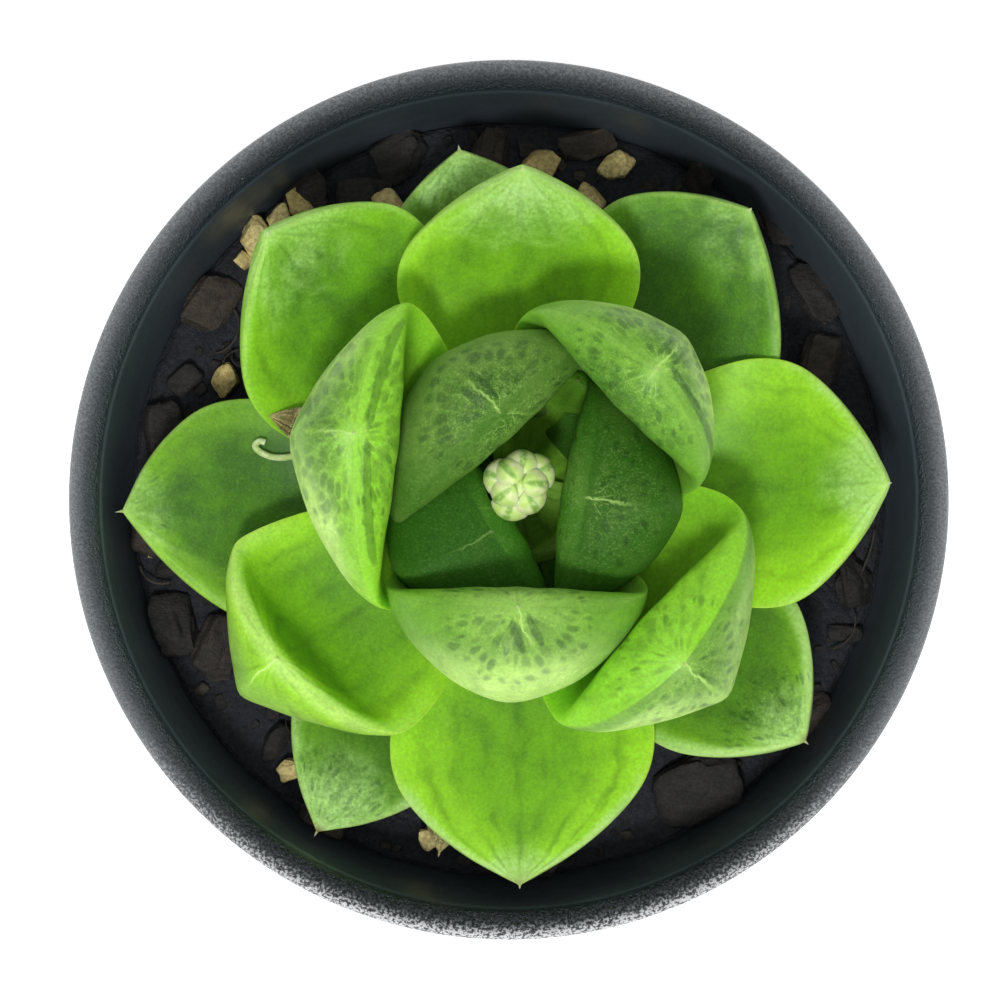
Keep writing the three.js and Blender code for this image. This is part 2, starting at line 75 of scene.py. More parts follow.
# The filling, the stem and the rosette's axis
GAP = 0.3
SOIL_TOP = 57.4
HEART = np.array([(stem_low.x + stem_high.x) / 2, (stem_low.y + stem_high.y) / 2])
STEM_RADIUS = (stem_high.x - stem_low.x) / 2
LEAF_FOOT_RADIUS = 2
LOWEST_LEAF = 60.2
LEAF_STEP = 0.5
AWN_RADIUS = 0.14
AWN_LENGTH = 0.6
AWN_TAPER = [(0, 1), (0.4, 0.6), (0.75, 0.3)]
RIBS = 12
RIB_DEPTH = 0.05
CLEARANCE = 0.06  # between leaves that press on one another
FLESH_DETAIL = (104, 96)  # rings along a leaf and points round each
DRY_DETAIL = (60, 40)
ROOM_DETAIL = (60, 64)

# The camera looks straight down on the pot
CAMERA_OVER_RIM = 280
CAMERA_OFF_AXIS = (-0.85, -0.02)
PICTURE_SIDE_PX = 1000
RIM_RADIUS_PX = 442.5
SENSOR_MM = 36


# Small tools for shapes


def along(keys, t):
    """Heights at t of the smooth curve through the points (where, height)."""
    x, y = np.array(keys, float).T
    slope = np.diff(y) / np.diff(x)
    tangent = np.concatenate([slope[:1], (slope[:-1] + slope[1:]) / 2, slope[-1:]])
    i = np.clip(np.searchsorted(x, t, side="left") - 1, 0, len(x) - 2)
    h = x[i + 1] - x[i]
    s = np.clip((t - x[i]) / h, 0, 1)
    return (
        (1 + 2 * s) * (1 - s) ** 2 * y[i]
        + s * (1 - s) ** 2 * h * tangent[i]
        + s * s * (3 - 2 * s) * y[i + 1]
        + s * s * (s - 1) * h * tangent[i + 1]
    )


def polar(radius, angle):
    return radius * math.cos(angle), radius * math.sin(angle)


def smooth_step(value, low, high):
    s = np.clip((np.asarray(value, float) - low) / (high - low), 0, 1)
    return s * s * (3 - 2 * s)


def bump_at(value, middle, half):
    """1 at middle, falling smoothly to 0 at half away on each side."""
    return 1 - smooth_step(np.abs(np.asarray(value, float) - middle), 0, half)


def make_object(name, points, faces, material=None, fields=None, sharp_degrees=40):
    """A smooth-shaded mesh from points in millimetres, with number fields on its points."""
    mesh = bpy.data.meshes.new(name)
    mesh.from_pydata((np.asarray(points, float) * MM).tolist(), [], faces)
    for field, values in (fields or {}).items():
        attribute = mesh.attributes.new(field, "FLOAT", "POINT")
        attribute.data.foreach_set("value", np.asarray(values, np.float32))
    mesh.update()
    mesh.shade_smooth()
    mesh.set_sharp_from_angle(angle=math.radians(sharp_degrees))
    if material is not None:
        mesh.materials.append(material)
    made = bpy.data.objects.new(name, mesh)
    bpy.context.scene.collection.objects.link(made)
    return made


def dress(piece, slot, *nodes):
    """The piece rides with the part and stands for those CAD nodes, which are hidden. The slot is not used.
    """
    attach(piece, "root")
    if nodes:
        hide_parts(*nodes)


def closed_body(first, rings, last):
    """Points and faces of rings of points, closed by a point before them and one after."""
    rings = np.asarray(rings, float)
    sides = rings.shape[1]
    points = np.concatenate([[first], rings.reshape(-1, 3), [last]])
    end = len(points) - 1
    faces = []
    for side in range(sides):
        after = (side + 1) % sides
        faces.append((0, 1 + after, 1 + side))
        faces.append((end, end - sides + side, end - sides + after))
        for low in range(1, end - sides, sides):
            faces.append((low + side, low + after, low + sides + after, low + sides + side))

    # Turned to look out of the body if they look in
    corners = np.array([(f[0], b, c) for f in faces for b, c in zip(f[1:-1], f[2:])])
    a, b, c = (points[corners[:, k]] for k in range(3))
    if (a * np.cross(b, c)).sum() <= 0:
        faces = [face[::-1] for face in faces]
    return points, faces


# The leaves


BLUNT = {
    "width": [
        (0, 0.4), (0.2, 0.6), (0.42, 0.9), (0.6, 1), (0.76, 0.96),
        (0.88, 0.74), (0.95, 0.44), (0.985, 0.18), (1, 0),
    ],
    "back": [
        (0, 0.55), (0.25, 0.7), (0.5, 0.9), (0.7, 1), (0.84, 0.97),
        (0.92, 0.82), (0.97, 0.55), (0.99, 0.32), (1, 0),
    ],
    "face": [
        (0, 0.3), (0.3, 0.1), (0.55, 0.1), (0.72, 0.5), (0.82, 0.9),
        (0.9, 1), (0.96, 0.76), (0.99, 0.4), (1, 0),
    ],
}
POINTED = {
    "width": [
        (0, 0.36), (0.2, 0.56), (0.42, 0.86), (0.6, 1), (0.74, 0.93),
        (0.85, 0.68), (0.93, 0.38), (0.975, 0.14), (1, 0),
    ],
    "back": [
        (0, 0.55), (0.25, 0.75), (0.5, 0.95), (0.7, 1),
        (0.85, 0.88), (0.93, 0.62), (0.98, 0.28), (1, 0),
    ],
    "face": [
        (0, 0.3), (0.3, 0.15), (0.55, 0.25), (0.78, 0.75),
        (0.9, 0.72), (0.97, 0.35), (1, 0),
    ],
}
HOLLOW = [(0, 1), (0.5, 1), (0.75, 0.75), (0.9, 0.35), (1, 0)]
KEEL = [(0, 0), (0.5, 0.05), (0.8, 0.3), (1, 0.5)]


def midline(leaf, t):
    """Where the leaf's midline is at each t, with its onward, up and sideways directions."""
    foot = np.array([leaf.get("foot", LEAF_FOOT_RADIUS), leaf["low"]])
    tip = np.array([leaf["reach"], leaf["top"]])
    chord = np.linalg.norm(tip - foot)
    start, end = (math.radians(a) for a in leaf["rise"])
    first = foot + chord * leaf["pull"][0] * np.array([math.cos(start), math.sin(start)])
    second = tip - chord * leaf["pull"][1] * np.array([math.cos(end), math.sin(end)])
    t = np.asarray(t, float)[:, None]
    u = 1 - t
    spot = u**3 * foot + 3 * u * u * t * first + 3 * u * t * t * second + t**3 * tip
    slope = 3 * u * u * (first - foot) + 6 * u * t * (second - first) + 3 * t * t * (tip - second)
    slope /= np.linalg.norm(slope, axis=1, keepdims=True)
    turn = math.radians(leaf["turn"])
    outward = np.array([math.cos(turn), math.sin(turn), 0])
    side = np.array([-math.sin(turn), math.cos(turn), 0])
    upright = np.array([0, 0, 1.0])
    middle = np.array([*HEART, 0]) + spot[:, :1] * outward + spot[:, 1:] * upright
    middle = middle + leaf["sweep"] * t * t * side
    onward = slope[:, :1] * outward + slope[:, 1:] * upright
    up = slope[:, :1] * upright - slope[:, 1:] * outward
    return middle, onward, up, side


def leaf_rings(leaf, stations, sides, grow):
    """The leaf's skin as rings of points, with the foot and tip that close it."""
    angle = np.linspace(0, 2 * np.pi, sides, endpoint=False)[None, :]
    run = np.linspace(0, 1, stations)
    t = 0.997 * (1 - (1 - run) ** 1.55)
    middle, onward, up, side = midline(leaf, t)
    middle[0] -= grow * onward[0]
    x = np.cos(angle)
    half = (leaf["width"] * along(leaf["form"]["width"], t) + grow)[:, None]
    wider = np.minimum(half / np.maximum(half - grow, 0.1), 1.4)
    lift = np.abs(np.sin(angle))
    keel = np.clip(leaf["keel"] * along(KEEL, t), 0, 1)[:, None]
    lean = leaf.get("lean", 0) * smooth_step(t, 0.6, 0.9)[:, None]
    ridge = np.maximum(0, 1.1 - np.sqrt((x - lean) ** 2 + 0.01))
    under = (1 - keel) * lift + keel * ridge * np.minimum(1, 2.5 * lift)
    ribs = RIB_DEPTH * np.cos(RIBS * angle) * smooth_step(t, 0.3, 0.6)[:, None]
    ribs = ribs * (1 - smooth_step(t, 0.93, 0.99)[:, None]) * leaf.get("ribs", 1)
    face = (leaf["face"] * along(leaf["form"]["face"], t)[:, None] + grow + ribs) * lift
    back = -(leaf["back"] * along(leaf["form"]["back"], t)[:, None] + grow + ribs) * under
    hollow = leaf["hollow"] * along(HOLLOW, t)[:, None] * (x * wider) ** 2
    height = np.where(np.sin(angle) >= 0, face, back) + hollow
    rings = middle[:, None] + side * (half * x)[..., None] + up[:, None] * height[..., None]

    # The awn, a short stiff bristle, ends the leaf
    end, onward_end, up_end, side = midline(leaf, np.array([1.0]))
    awn = leaf.get("awn", AWN_LENGTH)
    bristle = []
    ring = np.cos(angle[0])[:, None] * side + np.sin(angle[0])[:, None] * up_end[0]
    for far, thick in AWN_TAPER:
        bristle.append(end[0] + far * awn * onward_end[0] + (AWN_RADIUS * thick + grow) * ring)
    rings = np.concatenate([rings, np.array(bristle)])
    apex = end[0] + (awn + grow) * onward_end[0]
    return middle[0], rings, apex


def leaf_fields(leaf, rings):
    """Where on the skin each point is: across the leaf, and in millimetres from its edge and tip."""
    count, sides, _ = rings.shape
    closed = np.concatenate([rings, rings[:, :1]], axis=1)
    step = np.linalg.norm(np.diff(closed, axis=1), axis=2)
    travel = np.concatenate([np.zeros((count, 1)), np.cumsum(step, axis=1)], axis=1)
    half = sides // 2
    face_long = travel[:, half : half + 1]
    back_long = travel[:, -1:] - face_long
    index = np.arange(sides)[None, :]
    on_back = index > half
    on_margin = index % half == 0
    place = travel[:, :sides]
    far = np.where(on_back, travel[:, -1:] - place, place)
    long = np.maximum(np.where(on_back, back_long, face_long), 1e-6)
    band = far / long
    edge = np.minimum(far, long - far)
    stride = np.linalg.norm(np.diff(rings, axis=0), axis=2)
    tip = np.concatenate([np.cumsum(stride[::-1], axis=0)[::-1], np.zeros((1, sides))])
    return {
        "band": band,
        "edge_mm": edge,
        "tip_mm": tip,
        "back": np.broadcast_to(np.where(on_margin, 0.5, on_back), band.shape),
        "keel_mm": (band - 0.5 - leaf.get("keel_at", 0)) * long,
    }


def leaf_mesh(leaf, stations, sides, grow=0.0, look=True):
    """Points, faces and fields of a whole leaf."""
    foot, rings, apex = leaf_rings(leaf, stations, sides, grow)
    points, faces = closed_body(foot, rings, apex)
    fields = {}
    if look:
        fields = leaf_fields(leaf, rings)
        fields.update(leaf_look(leaf, fields))
        for name, values in fields.items():
            flat = np.asarray(values, float).reshape(-1)
            fields[name] = np.concatenate([[flat[:sides].mean()], flat, [flat[-sides:].mean()]])
        fields["own"] = np.ones(len(points))
    return points, faces, fields


def leaf_look(leaf, f):
    """How each part of this leaf is coloured, all from 0 to 1: tone from shaded to sunlit green, pale lime,
    deep green, clear windows between the veins, vein strength and a brown tip. Tone is painted light and
    shade, pale lime is partly painted light and sheen, deep green is partly painted shade, the glow is
    painted light and the keel's pale line a painted highlight."""
    k = SimpleNamespace(**{**LOOK, **leaf.get("look", {})})
    back, tip, edge, band = f["back"], f["tip_mm"], f["edge_mm"], f["band"]
    inner = 1 - back
    on_back = back > 0.5
    near_tip = 1 - smooth_step(tip, k.pale_from, k.pale_to)
    margin = 1 - smooth_step(edge, 0.2, k.margin_mm)
    left = 1 - smooth_step(band, 0.25, 0.75)
    right = 1 - left
    # Pale lime on the back: partly the leaf's own paler belly, partly painted light, more on the side of each
    # leaf that faces the lamp; pale_face paints light on an inner face in a shaded gap
    belly = smooth_step(edge, 1, k.belly_edge) * smooth_step(tip, k.belly_from, k.belly_to)
    pale = k.pale_back * back * (k.pale_all + (1 - k.pale_all) * belly)
    pale = pale * (k.pale_left * left + k.pale_right * right) * (1 - smooth_step(tip, 18, 28))
    pale = np.maximum(pale, k.pale_face * inner * smooth_step(tip, 3, 9))
    # Painted sheen: a pale band along the margins towards the tip, partly the skin's own paler edge
    pale = np.maximum(pale, k.pale_margin * margin * near_tip)
    pale = np.maximum(pale, k.pale_tip * (1 - smooth_step(tip, 0.5, k.pale_tip_mm)))
    # Deep green: partly the flesh's own deeper colour, partly painted shade on the inner faces down in the
    # cup
    deep = k.deep * inner * smooth_step(tip, k.deep_from, k.deep_to)
    deep = np.maximum(deep, k.deep_back * back * (1 - k.deep_less * smooth_step(tip, 7, 13)))
    deep = np.maximum(deep, k.deep_tip * (1 - smooth_step(tip, 3, 9)))
    rim = 1 - smooth_step(edge, 0.3, k.rim_mm)
    reach = 1 - smooth_step(tip, k.window_reach * 0.7, k.window_reach)
    haze_tip = 1 - smooth_step(tip, k.haze_mm * 0.3, k.haze_mm)
    haze_edge = (1 - smooth_step(edge, 0.3, k.haze_edge_mm)) * (1 - smooth_step(tip, 12, 20))
    rail = bump_at(edge, k.rail_mm, k.rail_half) * smooth_step(tip, 0.6, 2.5)
    rail = rail * (1 - smooth_step(tip, k.rail_long * 0.7, k.rail_long))
    rail = rail * np.where(on_back, k.rail_back, k.rail_face) * (k.rail_left * left + right)
    keel = bump_at(np.abs(f["keel_mm"]), 0.9, 0.8) * on_back * smooth_step(tip, 0.8, 2)
    even = np.ones(tip.shape)
    return {
        "tone": k.tone + k.lift_tip * near_tip + k.lift_rim * rim * inner,
        "pale": pale,
        "deep": deep * (1 - k.deep_fade * rim),
        "windows": k.windows * reach * smooth_step(edge, 0.1, 1) * np.where(on_back, 1, k.window_face),
        "rail": np.maximum(rail, k.keel_band * keel * (1 - smooth_step(tip, 3.5, 6))),
        "veins": k.veins * smooth_step(tip, 0.3, 3),
        # keel_line: a painted highlight along the keel's ridge
        "keel_line": k.keel_line * on_back * (1 - smooth_step(tip, 2, 5.5)),
        "brown": k.brown * (1 - smooth_step(tip, 0.4, k.brown_mm)),
        # Painted light: a yellow glow as of light shining through the flesh, over the whole leaf, on its
        # inner face and along its margins
        "glow": k.glow + k.glow_face * inner + k.glow_rim * rim * (k.glow_left * left + k.glow_right * right),
        "haze": k.haze * np.maximum(haze_tip, k.haze_edge * haze_edge),
        "awn": k.awn * even,
        "broad": k.broad * even,
    }


# A leaf looks like this where its own look says nothing else. Names that end in _mm, _from, _to,
# _edge, _reach and _long are distances from the tip or the margin in millimetres.
LOOK = dict(
    tone=0.5, lift_tip=0.1, lift_rim=0.35, rim_mm=6,
    glow=0.1, glow_face=0, glow_rim=0.3, glow_left=1, glow_right=1,
    pale_back=0.6, pale_all=0.15, pale_left=1, pale_right=1, belly_from=1.5, belly_to=9, belly_edge=7,
    pale_face=0, pale_margin=0.35, margin_mm=1, pale_from=8, pale_to=22, pale_tip=0.35, pale_tip_mm=2.2,
    deep=0, deep_from=3, deep_to=14, deep_fade=0.8, deep_back=0, deep_less=0, deep_tip=0,
    windows=0, window_reach=9.5, window_face=0.7, broad=0,
    rail_mm=1.4, rail_half=1, rail_long=16, rail_back=0, rail_face=0, rail_left=1, keel_band=0,
    veins=0.4, keel_line=0.3, awn=0.8, brown=0, brown_mm=2.5,
    haze=0, haze_mm=8, haze_edge=0, haze_edge_mm=2.5,
)
SHADED = dict(
    tone=0, lift_tip=0, lift_rim=0, glow=0, glow_rim=0, pale_back=0, pale_margin=0, pale_tip=0,
    deep_from=0, deep_fade=0, veins=0.3, keel_line=0, awn=0.25,
)


# From the heart of the rosette outwards, with the same values as the CAD leaves
LEAF_SIZES = "turn sweep reach top rise pull width face back hollow keel form".split()
EVEN = (0.35, 0.35)


def leaf_row(*sizes, **more):
    return {**dict(zip(LEAF_SIZES, sizes)), **more}


LEAVES = [
    leaf_row(300, 0, 7.2, 74.2, (40, 75), EVEN, 6.5, 1, 2, 2, 1, POINTED, look=dict(
        SHADED, tone=0.8, glow=1, pale_face=0.15, pale_tip=0.15, pale_tip_mm=9, veins=0.8)),
    leaf_row(60, 0, 11, 77.4, (45, 80), EVEN, 8.5, 1, 2, 2, 1, POINTED, look=dict(
        SHADED, tone=0.8, glow=1, deep_tip=0.6, veins=0.8)),
    leaf_row(211, 2.6, 4.5, 82, (46, 100), (0.45, 0.45), 9.8, 2.8, 9, 2.5, 1, BLUNT, look=dict(
        SHADED, deep=0.8, deep_back=0.75, deep_less=0.9, windows=0.15, keel_line=0.2)),
    leaf_row(351, -0.4, 6.3, 84, (41, 108), (0.5, 0.45), 10.6, 3, 7.8, 3, 1, BLUNT, look=dict(
        SHADED, tone=0.3, deep=0.7, deep_back=0.6, deep_less=0.4, windows=0.4, keel_line=0.5,
        haze=0.14, haze_mm=5)),
    leaf_row(132, -2.9, 5.9, 87, (40, 112), (0.45, 0.45), 12.4, 3.4, 5.8, 4, 1, BLUNT, look=dict(
        SHADED, tone=0.65, deep=0.3, pale_back=0.12, windows=0.95, keel_band=0.8, keel_line=0.5,
        haze=0.08, haze_mm=10)),
    leaf_row(269, 0, 11.2, 90, (27, 115), (0.5, 0.45), 12, 3, 6.8, 4.2, 1, BLUNT, lean=-0.27, keel_at=-0.14,
             look=dict(tone=0.05, deep=0.3, windows=0.75, pale_back=0.95, pale_all=0.04, belly_from=1,
                       belly_to=7, belly_edge=11, pale_margin=0.1, pale_tip=0.4, pale_tip_mm=11,
                       keel_line=0.8, keel_band=0.9)),
    leaf_row(44, -1.2, 15.7, 91, (34, 92), (0.45, 0.45), 11.2, 4.6, 4.6, 4, 1, BLUNT, look=dict(
        tone=0.15, glow=0, windows=1, window_reach=11, broad=0.5, pale_back=0.7, pale_left=0.7,
        pale_right=1.4, belly_edge=5, belly_to=10, pale_margin=0.15, rail_back=0.9, rail_left=0,
        keel_line=0.5, keel_band=0.6)),
    leaf_row(174, -2.8, 15.2, 90, (32, 100), (0.5, 0.42), 14, 4.4, 5.5, 4.5, 2.2, BLUNT, look=dict(
        tone=0.4, glow_rim=0.8, rim_mm=5, glow_face=0.8, windows=1, window_reach=12, broad=0.8,
        pale_back=0.8, pale_left=1.3, pale_right=0.9, belly_edge=4, belly_from=4, belly_to=11,
        pale_margin=0.15, rail_face=0.9, keel_line=0.5, keel_band=0.5)),
    leaf_row(318, -2.3, 22.1, 86, (22, 88), (0.5, 0.4), 13, 5, 6.4, 3.5, 2.2, BLUNT, look=dict(
        tone=0.35, glow=0, glow_face=1, glow_rim=0.15, rim_mm=3, windows=0.55, broad=0.7, pale_back=0.7,
        pale_all=0.2, pale_left=0.7, pale_right=1.4, belly_edge=3, pale_margin=0, keel_line=0.7, veins=0.5)),
    leaf_row(91, -0.9, 29.2, 79, (20, 48), (0.4, 0.35), 11.5, 2.8, 4.5, 2.5, 1, POINTED, awn=0.3, look=dict(
        tone=0.75, glow=0.2, glow_rim=0.5, pale_tip_mm=4, haze=0.55, haze_mm=13, veins=0.5)),
    leaf_row(220, -2, 28, 76, (13, 97), (0.5, 0.45), 12.1, 1.6, 6, 3.2, 2.4, BLUNT, look=dict(
        tone=0.7, glow=0.15, glow_rim=0.9, rim_mm=7, pale_back=0.5, pale_margin=0.75, margin_mm=2.4,
        keel_line=0.9, veins=0.6)),
    leaf_row(0, 0, 35, 74, (15, 50), EVEN, 12, 2, 4.2, 2.5, 1, POINTED, awn=0.5, look=dict(
        tone=0.8, glow=0.12, glow_rim=0.8, glow_right=1.6, rim_mm=9, veins=0.5,
        haze=0.7, haze_mm=10, haze_edge=0.6)),
    leaf_row(140.3, -3, 33, 77, (16, 60), EVEN, 12, 2, 4.2, 2.5, 1, POINTED, awn=0.3, look=dict(
        glow=0, glow_left=1.7, rim_mm=8, veins=0.6, haze=0.45, haze_mm=14, haze_edge=0.5)),
    leaf_row(272, -1.2, 38.6, 70, (12, 30), EVEN, 12.8, 1.6, 4, 2.5, 1, POINTED, awn=0.4, look=dict(
        tone=0.8, glow=0.15, glow_rim=0.9, rim_mm=9, veins=0.8, brown=0.5,
        haze=0.75, haze_mm=6, haze_edge=1)),
    leaf_row(44, 3.4, 34, 72, (12, 45), EVEN, 11.9, 2, 4, 2.5, 1, POINTED, awn=0.3, look=dict(
        tone=0, deep=0.25, glow=0, glow_rim=0.05, haze=0.35, haze_mm=11, haze_edge=0.7)),
    leaf_row(190, -4, 38.2, 68, (10, 30), EVEN, 11.2, 2, 4, 2, 1, POINTED, look=dict(
        tone=0.1, deep=0.2, windows=0.3, window_reach=7, glow=0, glow_rim=0.25, glow_left=2.5,
        haze=0.5, haze_edge=0.3), awn=0.8),
    leaf_row(318, 0, 37.1, 70, (10, 40), EVEN, 10, 1.6, 4, 2, 1, POINTED, awn=0.5, look=dict(
        tone=0.12, deep=0.45, windows=0.8, brown=0.8, brown_mm=1.4, pale_margin=0.8, margin_mm=2,
        haze=0.7, haze_mm=9, haze_edge=1)),
    leaf_row(100, 0, 32.8, 68, (8, 35), EVEN, 10, 1.8, 3.6, 2, 1, POINTED, awn=0.5, look=dict(
        tone=0.1, deep=0.2, windows=0.3, brown=0.5, brown_mm=1, glow_rim=0, haze=0.5, haze_mm=16)),
    leaf_row(240, 0, 39.2, 66, (8, 25), EVEN, 9, 1.6, 3.4, 2, 1, POINTED, awn=0.6, look=dict(
        tone=0.1, deep=0.3, windows=0.8, broad=0.5, brown=1, brown_mm=1.6, glow_rim=0.1,
        haze=0.75, haze_mm=12, haze_edge=0.8)),
]
for number, leaf in enumerate(LEAVES):
    leaf["low"] = LOWEST_LEAF + LEAF_STEP * (len(LEAVES) - 1 - number)

DRY_LEAVES = [
    leaf_row(166, -0.5, 24.8, 71, (20, 10), (0.35, 0.3), 2.8, 0.5, 0.7, 1.2, 1, POINTED,
             low=61, awn=0.4, ribs=4),
    leaf_row(258, 0, 37.4, 61.5, (2, 4), (0.35, 0.3), 4.4, 0.5, 0.6, 0.8, 1, POINTED,
             low=59.5, awn=0.4, ribs=4),
]


# Cutting pieces clear of one another


def cut_clear(piece, cutters):
    """Takes the cutters out of the piece and keeps its biggest body, with its fields restored."""
    if not cutters:
        return
    tools = bpy.data.collections.new("cutters")
    for cutter in cutters:
        tools.objects.link(cutter)
    cut = piece.modifiers.new("cut", "BOOLEAN")
    cut.operation = "DIFFERENCE"
    cut.solver = "MANIFOLD"
    cut.operand_type = "COLLECTION"
    cut.collection = tools
    whole = piece.data
    graph = bpy.context.evaluated_depsgraph_get()
    mesh = bpy.data.meshes.new_from_object(piece.evaluated_get(graph), depsgraph=graph)
    piece.modifiers.clear()
    bpy.data.collections.remove(tools)
    keep_biggest(mesh)
    restore_fields(mesh, whole)
    mesh.materials.clear()
    for material in whole.materials:
        mesh.materials.append(material)
    mesh.shade_smooth()
    mesh.set_sharp_from_angle(angle=math.radians(40))
    piece.data = mesh


def keep_biggest(mesh):
    """Drops what a cut leaves loose, all but the body with the most points."""
    body = bmesh.new()
    body.from_mesh(mesh)
    left, bodies = set(body.verts), []
    while left:
        found = [left.pop()]
        for vert in found:
            near = {edge.other_vert(vert) for edge in vert.link_edges} & left
            left -= near
            found += near
        bodies.append(found)
    bodies.sort(key=len)
    if len(bodies) > 1:
        loose = [vert for found in bodies[:-1] for vert in found]
        bmesh.ops.delete(body, geom=loose, context="VERTS")
        body.to_mesh(mesh)
    body.free()


def read_field(mesh, name):
    values = np.zeros(len(mesh.vertices), np.float32)
    mesh.attributes[name].data.foreach_get("value", values)
    return values


def restore_fields(mesh, whole):
    """Points that a cut made take their fields from the nearest place on the whole piece."""
    names = [a.name for a in whole.attributes if a.domain == "POINT" and a.data_type == "FLOAT"]
    if "own" not in names:
        return
    own = read_field(mesh, "own")
    new = np.nonzero(own < 0.999)[0]
    if not len(new):
        return
    tree = BVHTree.FromPolygons([v.co[:] for v in whole.vertices], [p.vertices[:] for p in whole.polygons])
    near = []
    for index in new:
        spot, _, face, _ = tree.find_nearest(mesh.vertices[index].co)
        corners = whole.polygons[face].vertices
        weight = np.array([1 / max((whole.vertices[c].co - spot).length, 1e-9) for c in corners])
        near.append((list(corners), weight / weight.sum()))
    for name in names:
        source, values = read_field(whole, name), read_field(mesh, name)
        for index, (corners, weight) in zip(new, near):
            values[index] = np.dot(source[corners], weight)
        mesh.attributes[name].data.foreach_set("value", values)


def boxes_meet(a, b, spare=0.5):
    return bool(np.all(a.min(0) - spare < b.max(0)) and np.all(b.min(0) - spare < a.max(0)))


# Materials


class Out:
    """A node's output, to be added, multiplied and linked on."""

    def __init__(self, shader, socket):
        self.shader, self.socket = shader, socket

    def __add__(self, other):
        return self.shader.math("ADD", self, other)

    def __sub__(self, other):
        return self.shader.math("SUBTRACT", self, other)

    def __mul__(self, other):
        return self.shader.math("MULTIPLY", self, other)

    def __abs__(self):
        return self.shader.math("ABSOLUTE", self)


class Shader:
    """A material's node tree, built by short calls that return outputs."""

    def __init__(self, name):
        self.material = bpy.data.materials.new(name)
        self.material.use_nodes = True
        self.tree = self.material.node_tree
        self.tree.nodes.clear()
        self.place = self.outs("TexCoord")["Object"]

    def feed(self, socket, value):
        """Sets an input to an output, a number, a colour or a colour's code."""
        if isinstance(value, Out):
            self.tree.links.new(value.socket, socket)
            return
        if isinstance(value, str):
            value = srgb(value)
        socket.default_value = (*value, 1) if socket.type == "RGBA" else value

    def node(self, kind, inputs=None, **settings):
        made = self.tree.nodes.new("ShaderNode" + kind)
        for key, value in settings.items():
            setattr(made, key, value)
        for key, value in (inputs or {}).items():
            self.feed(made.inputs[key], value)
        return made

    def outs(self, kind, inputs=None, **settings):
        """The outputs of a new node, by name."""
        made = self.node(kind, inputs, **settings)
        return {socket.name: Out(self, socket) for socket in made.outputs}

    def field(self, name):
        return self.outs("Attribute", attribute_name=name)["Fac"]

    def math(self, operation, *values):
        return Out(self, self.node("Math", dict(enumerate(values)), operation=operation).outputs[0])

    def most(self, a, b):
        return self.math("MAXIMUM", a, b)

    def ramp(self, value, low, high, start=0, end=1):
        inputs = {"Value": value, "From Min": low, "From Max": high, "To Min": start, "To Max": end}
        return self.outs("MapRange", inputs, interpolation_type="SMOOTHSTEP")["Result"]

    def mix(self, share, a, b, blend="MIX"):
        made = self.node("Mix", data_type="RGBA", blend_type=blend)
        for place, value in ((0, share), (6, a), (7, b)):
            self.feed(made.inputs[place], value)
        return Out(self, made.outputs[2])

    def two_tone(self, value, low, high, first, second):
        """The first colour where the value is low and the second where it is high."""
        return self.mix(self.ramp(value, low, high), first, second)

    def noise(self, size_mm, detail=3, roughness=0.5, where=None, distortion=0):
        inputs = {
            "Vector": where or self.place, "Scale": 1 / (size_mm * MM), "Detail": detail,
            "Roughness": roughness, "Distortion": distortion,
        }
        return Out(self, self.node("TexNoise", inputs).outputs[0])

    def bump(self, height, depth_mm):
        inputs = {"Height": height, "Strength": 1, "Distance": depth_mm * MM}
        return self.outs("Bump", inputs)["Normal"]

    def surface(self, **inputs):
        named = {key.replace("_", " ").title().replace("Ior", "IOR"): v for key, v in inputs.items()}
        shader = self.outs("BsdfPrincipled", named)["BSDF"]
        self.node("OutputMaterial", {"Surface": shader})
        return self.material


def srgb(code):
    """A colour written as on a screen, in the light values that Blender works in."""
    parts = [int(code[i : i + 2], 16) / 255 for i in (1, 3, 5)]
    return tuple(c / 12.92 if c <= 0.04045 else ((c + 0.055) / 1.055) ** 2.4 for c in parts)


VEIN_COLUMNS = 8
SPOKE_COLUMNS = 6
STREAK_COLUMNS = 9
STREAK_MM = 11


def window_spots(s, columns, row_mm, offset):
    """Soft ovals in rows that fan out from the leaf's tip, of uneven size, some clearer than others."""
    jog = (s.noise(2.4, detail=2) - 0.5) * 1.2
    x = s.field("band") * columns + offset + jog
    y = s.field("tip_mm") * (1 / row_mm) + offset + s.field("back") * 7.3
    cell = s.outs("CombineXYZ", {"X": x, "Y": y})["Vector"]
    inputs = {"Vector": cell, "Scale": 1, "Randomness": 0.65}
    cells = s.outs("TexVoronoi", inputs, voronoi_dimensions="2D", feature="F1")
    chance = s.outs("SeparateColor", {"Color": cells["Color"]})
    size = s.ramp(chance["Red"], 0, 1, 0.24, 0.48) + s.field("windows") * 0.34 - 0.32
    spots = s.ramp(cells["Distance"] - size, 0.17, -0.15)
    return spots * s.ramp(chance["Green"], 0, 1, 0.55, 1)


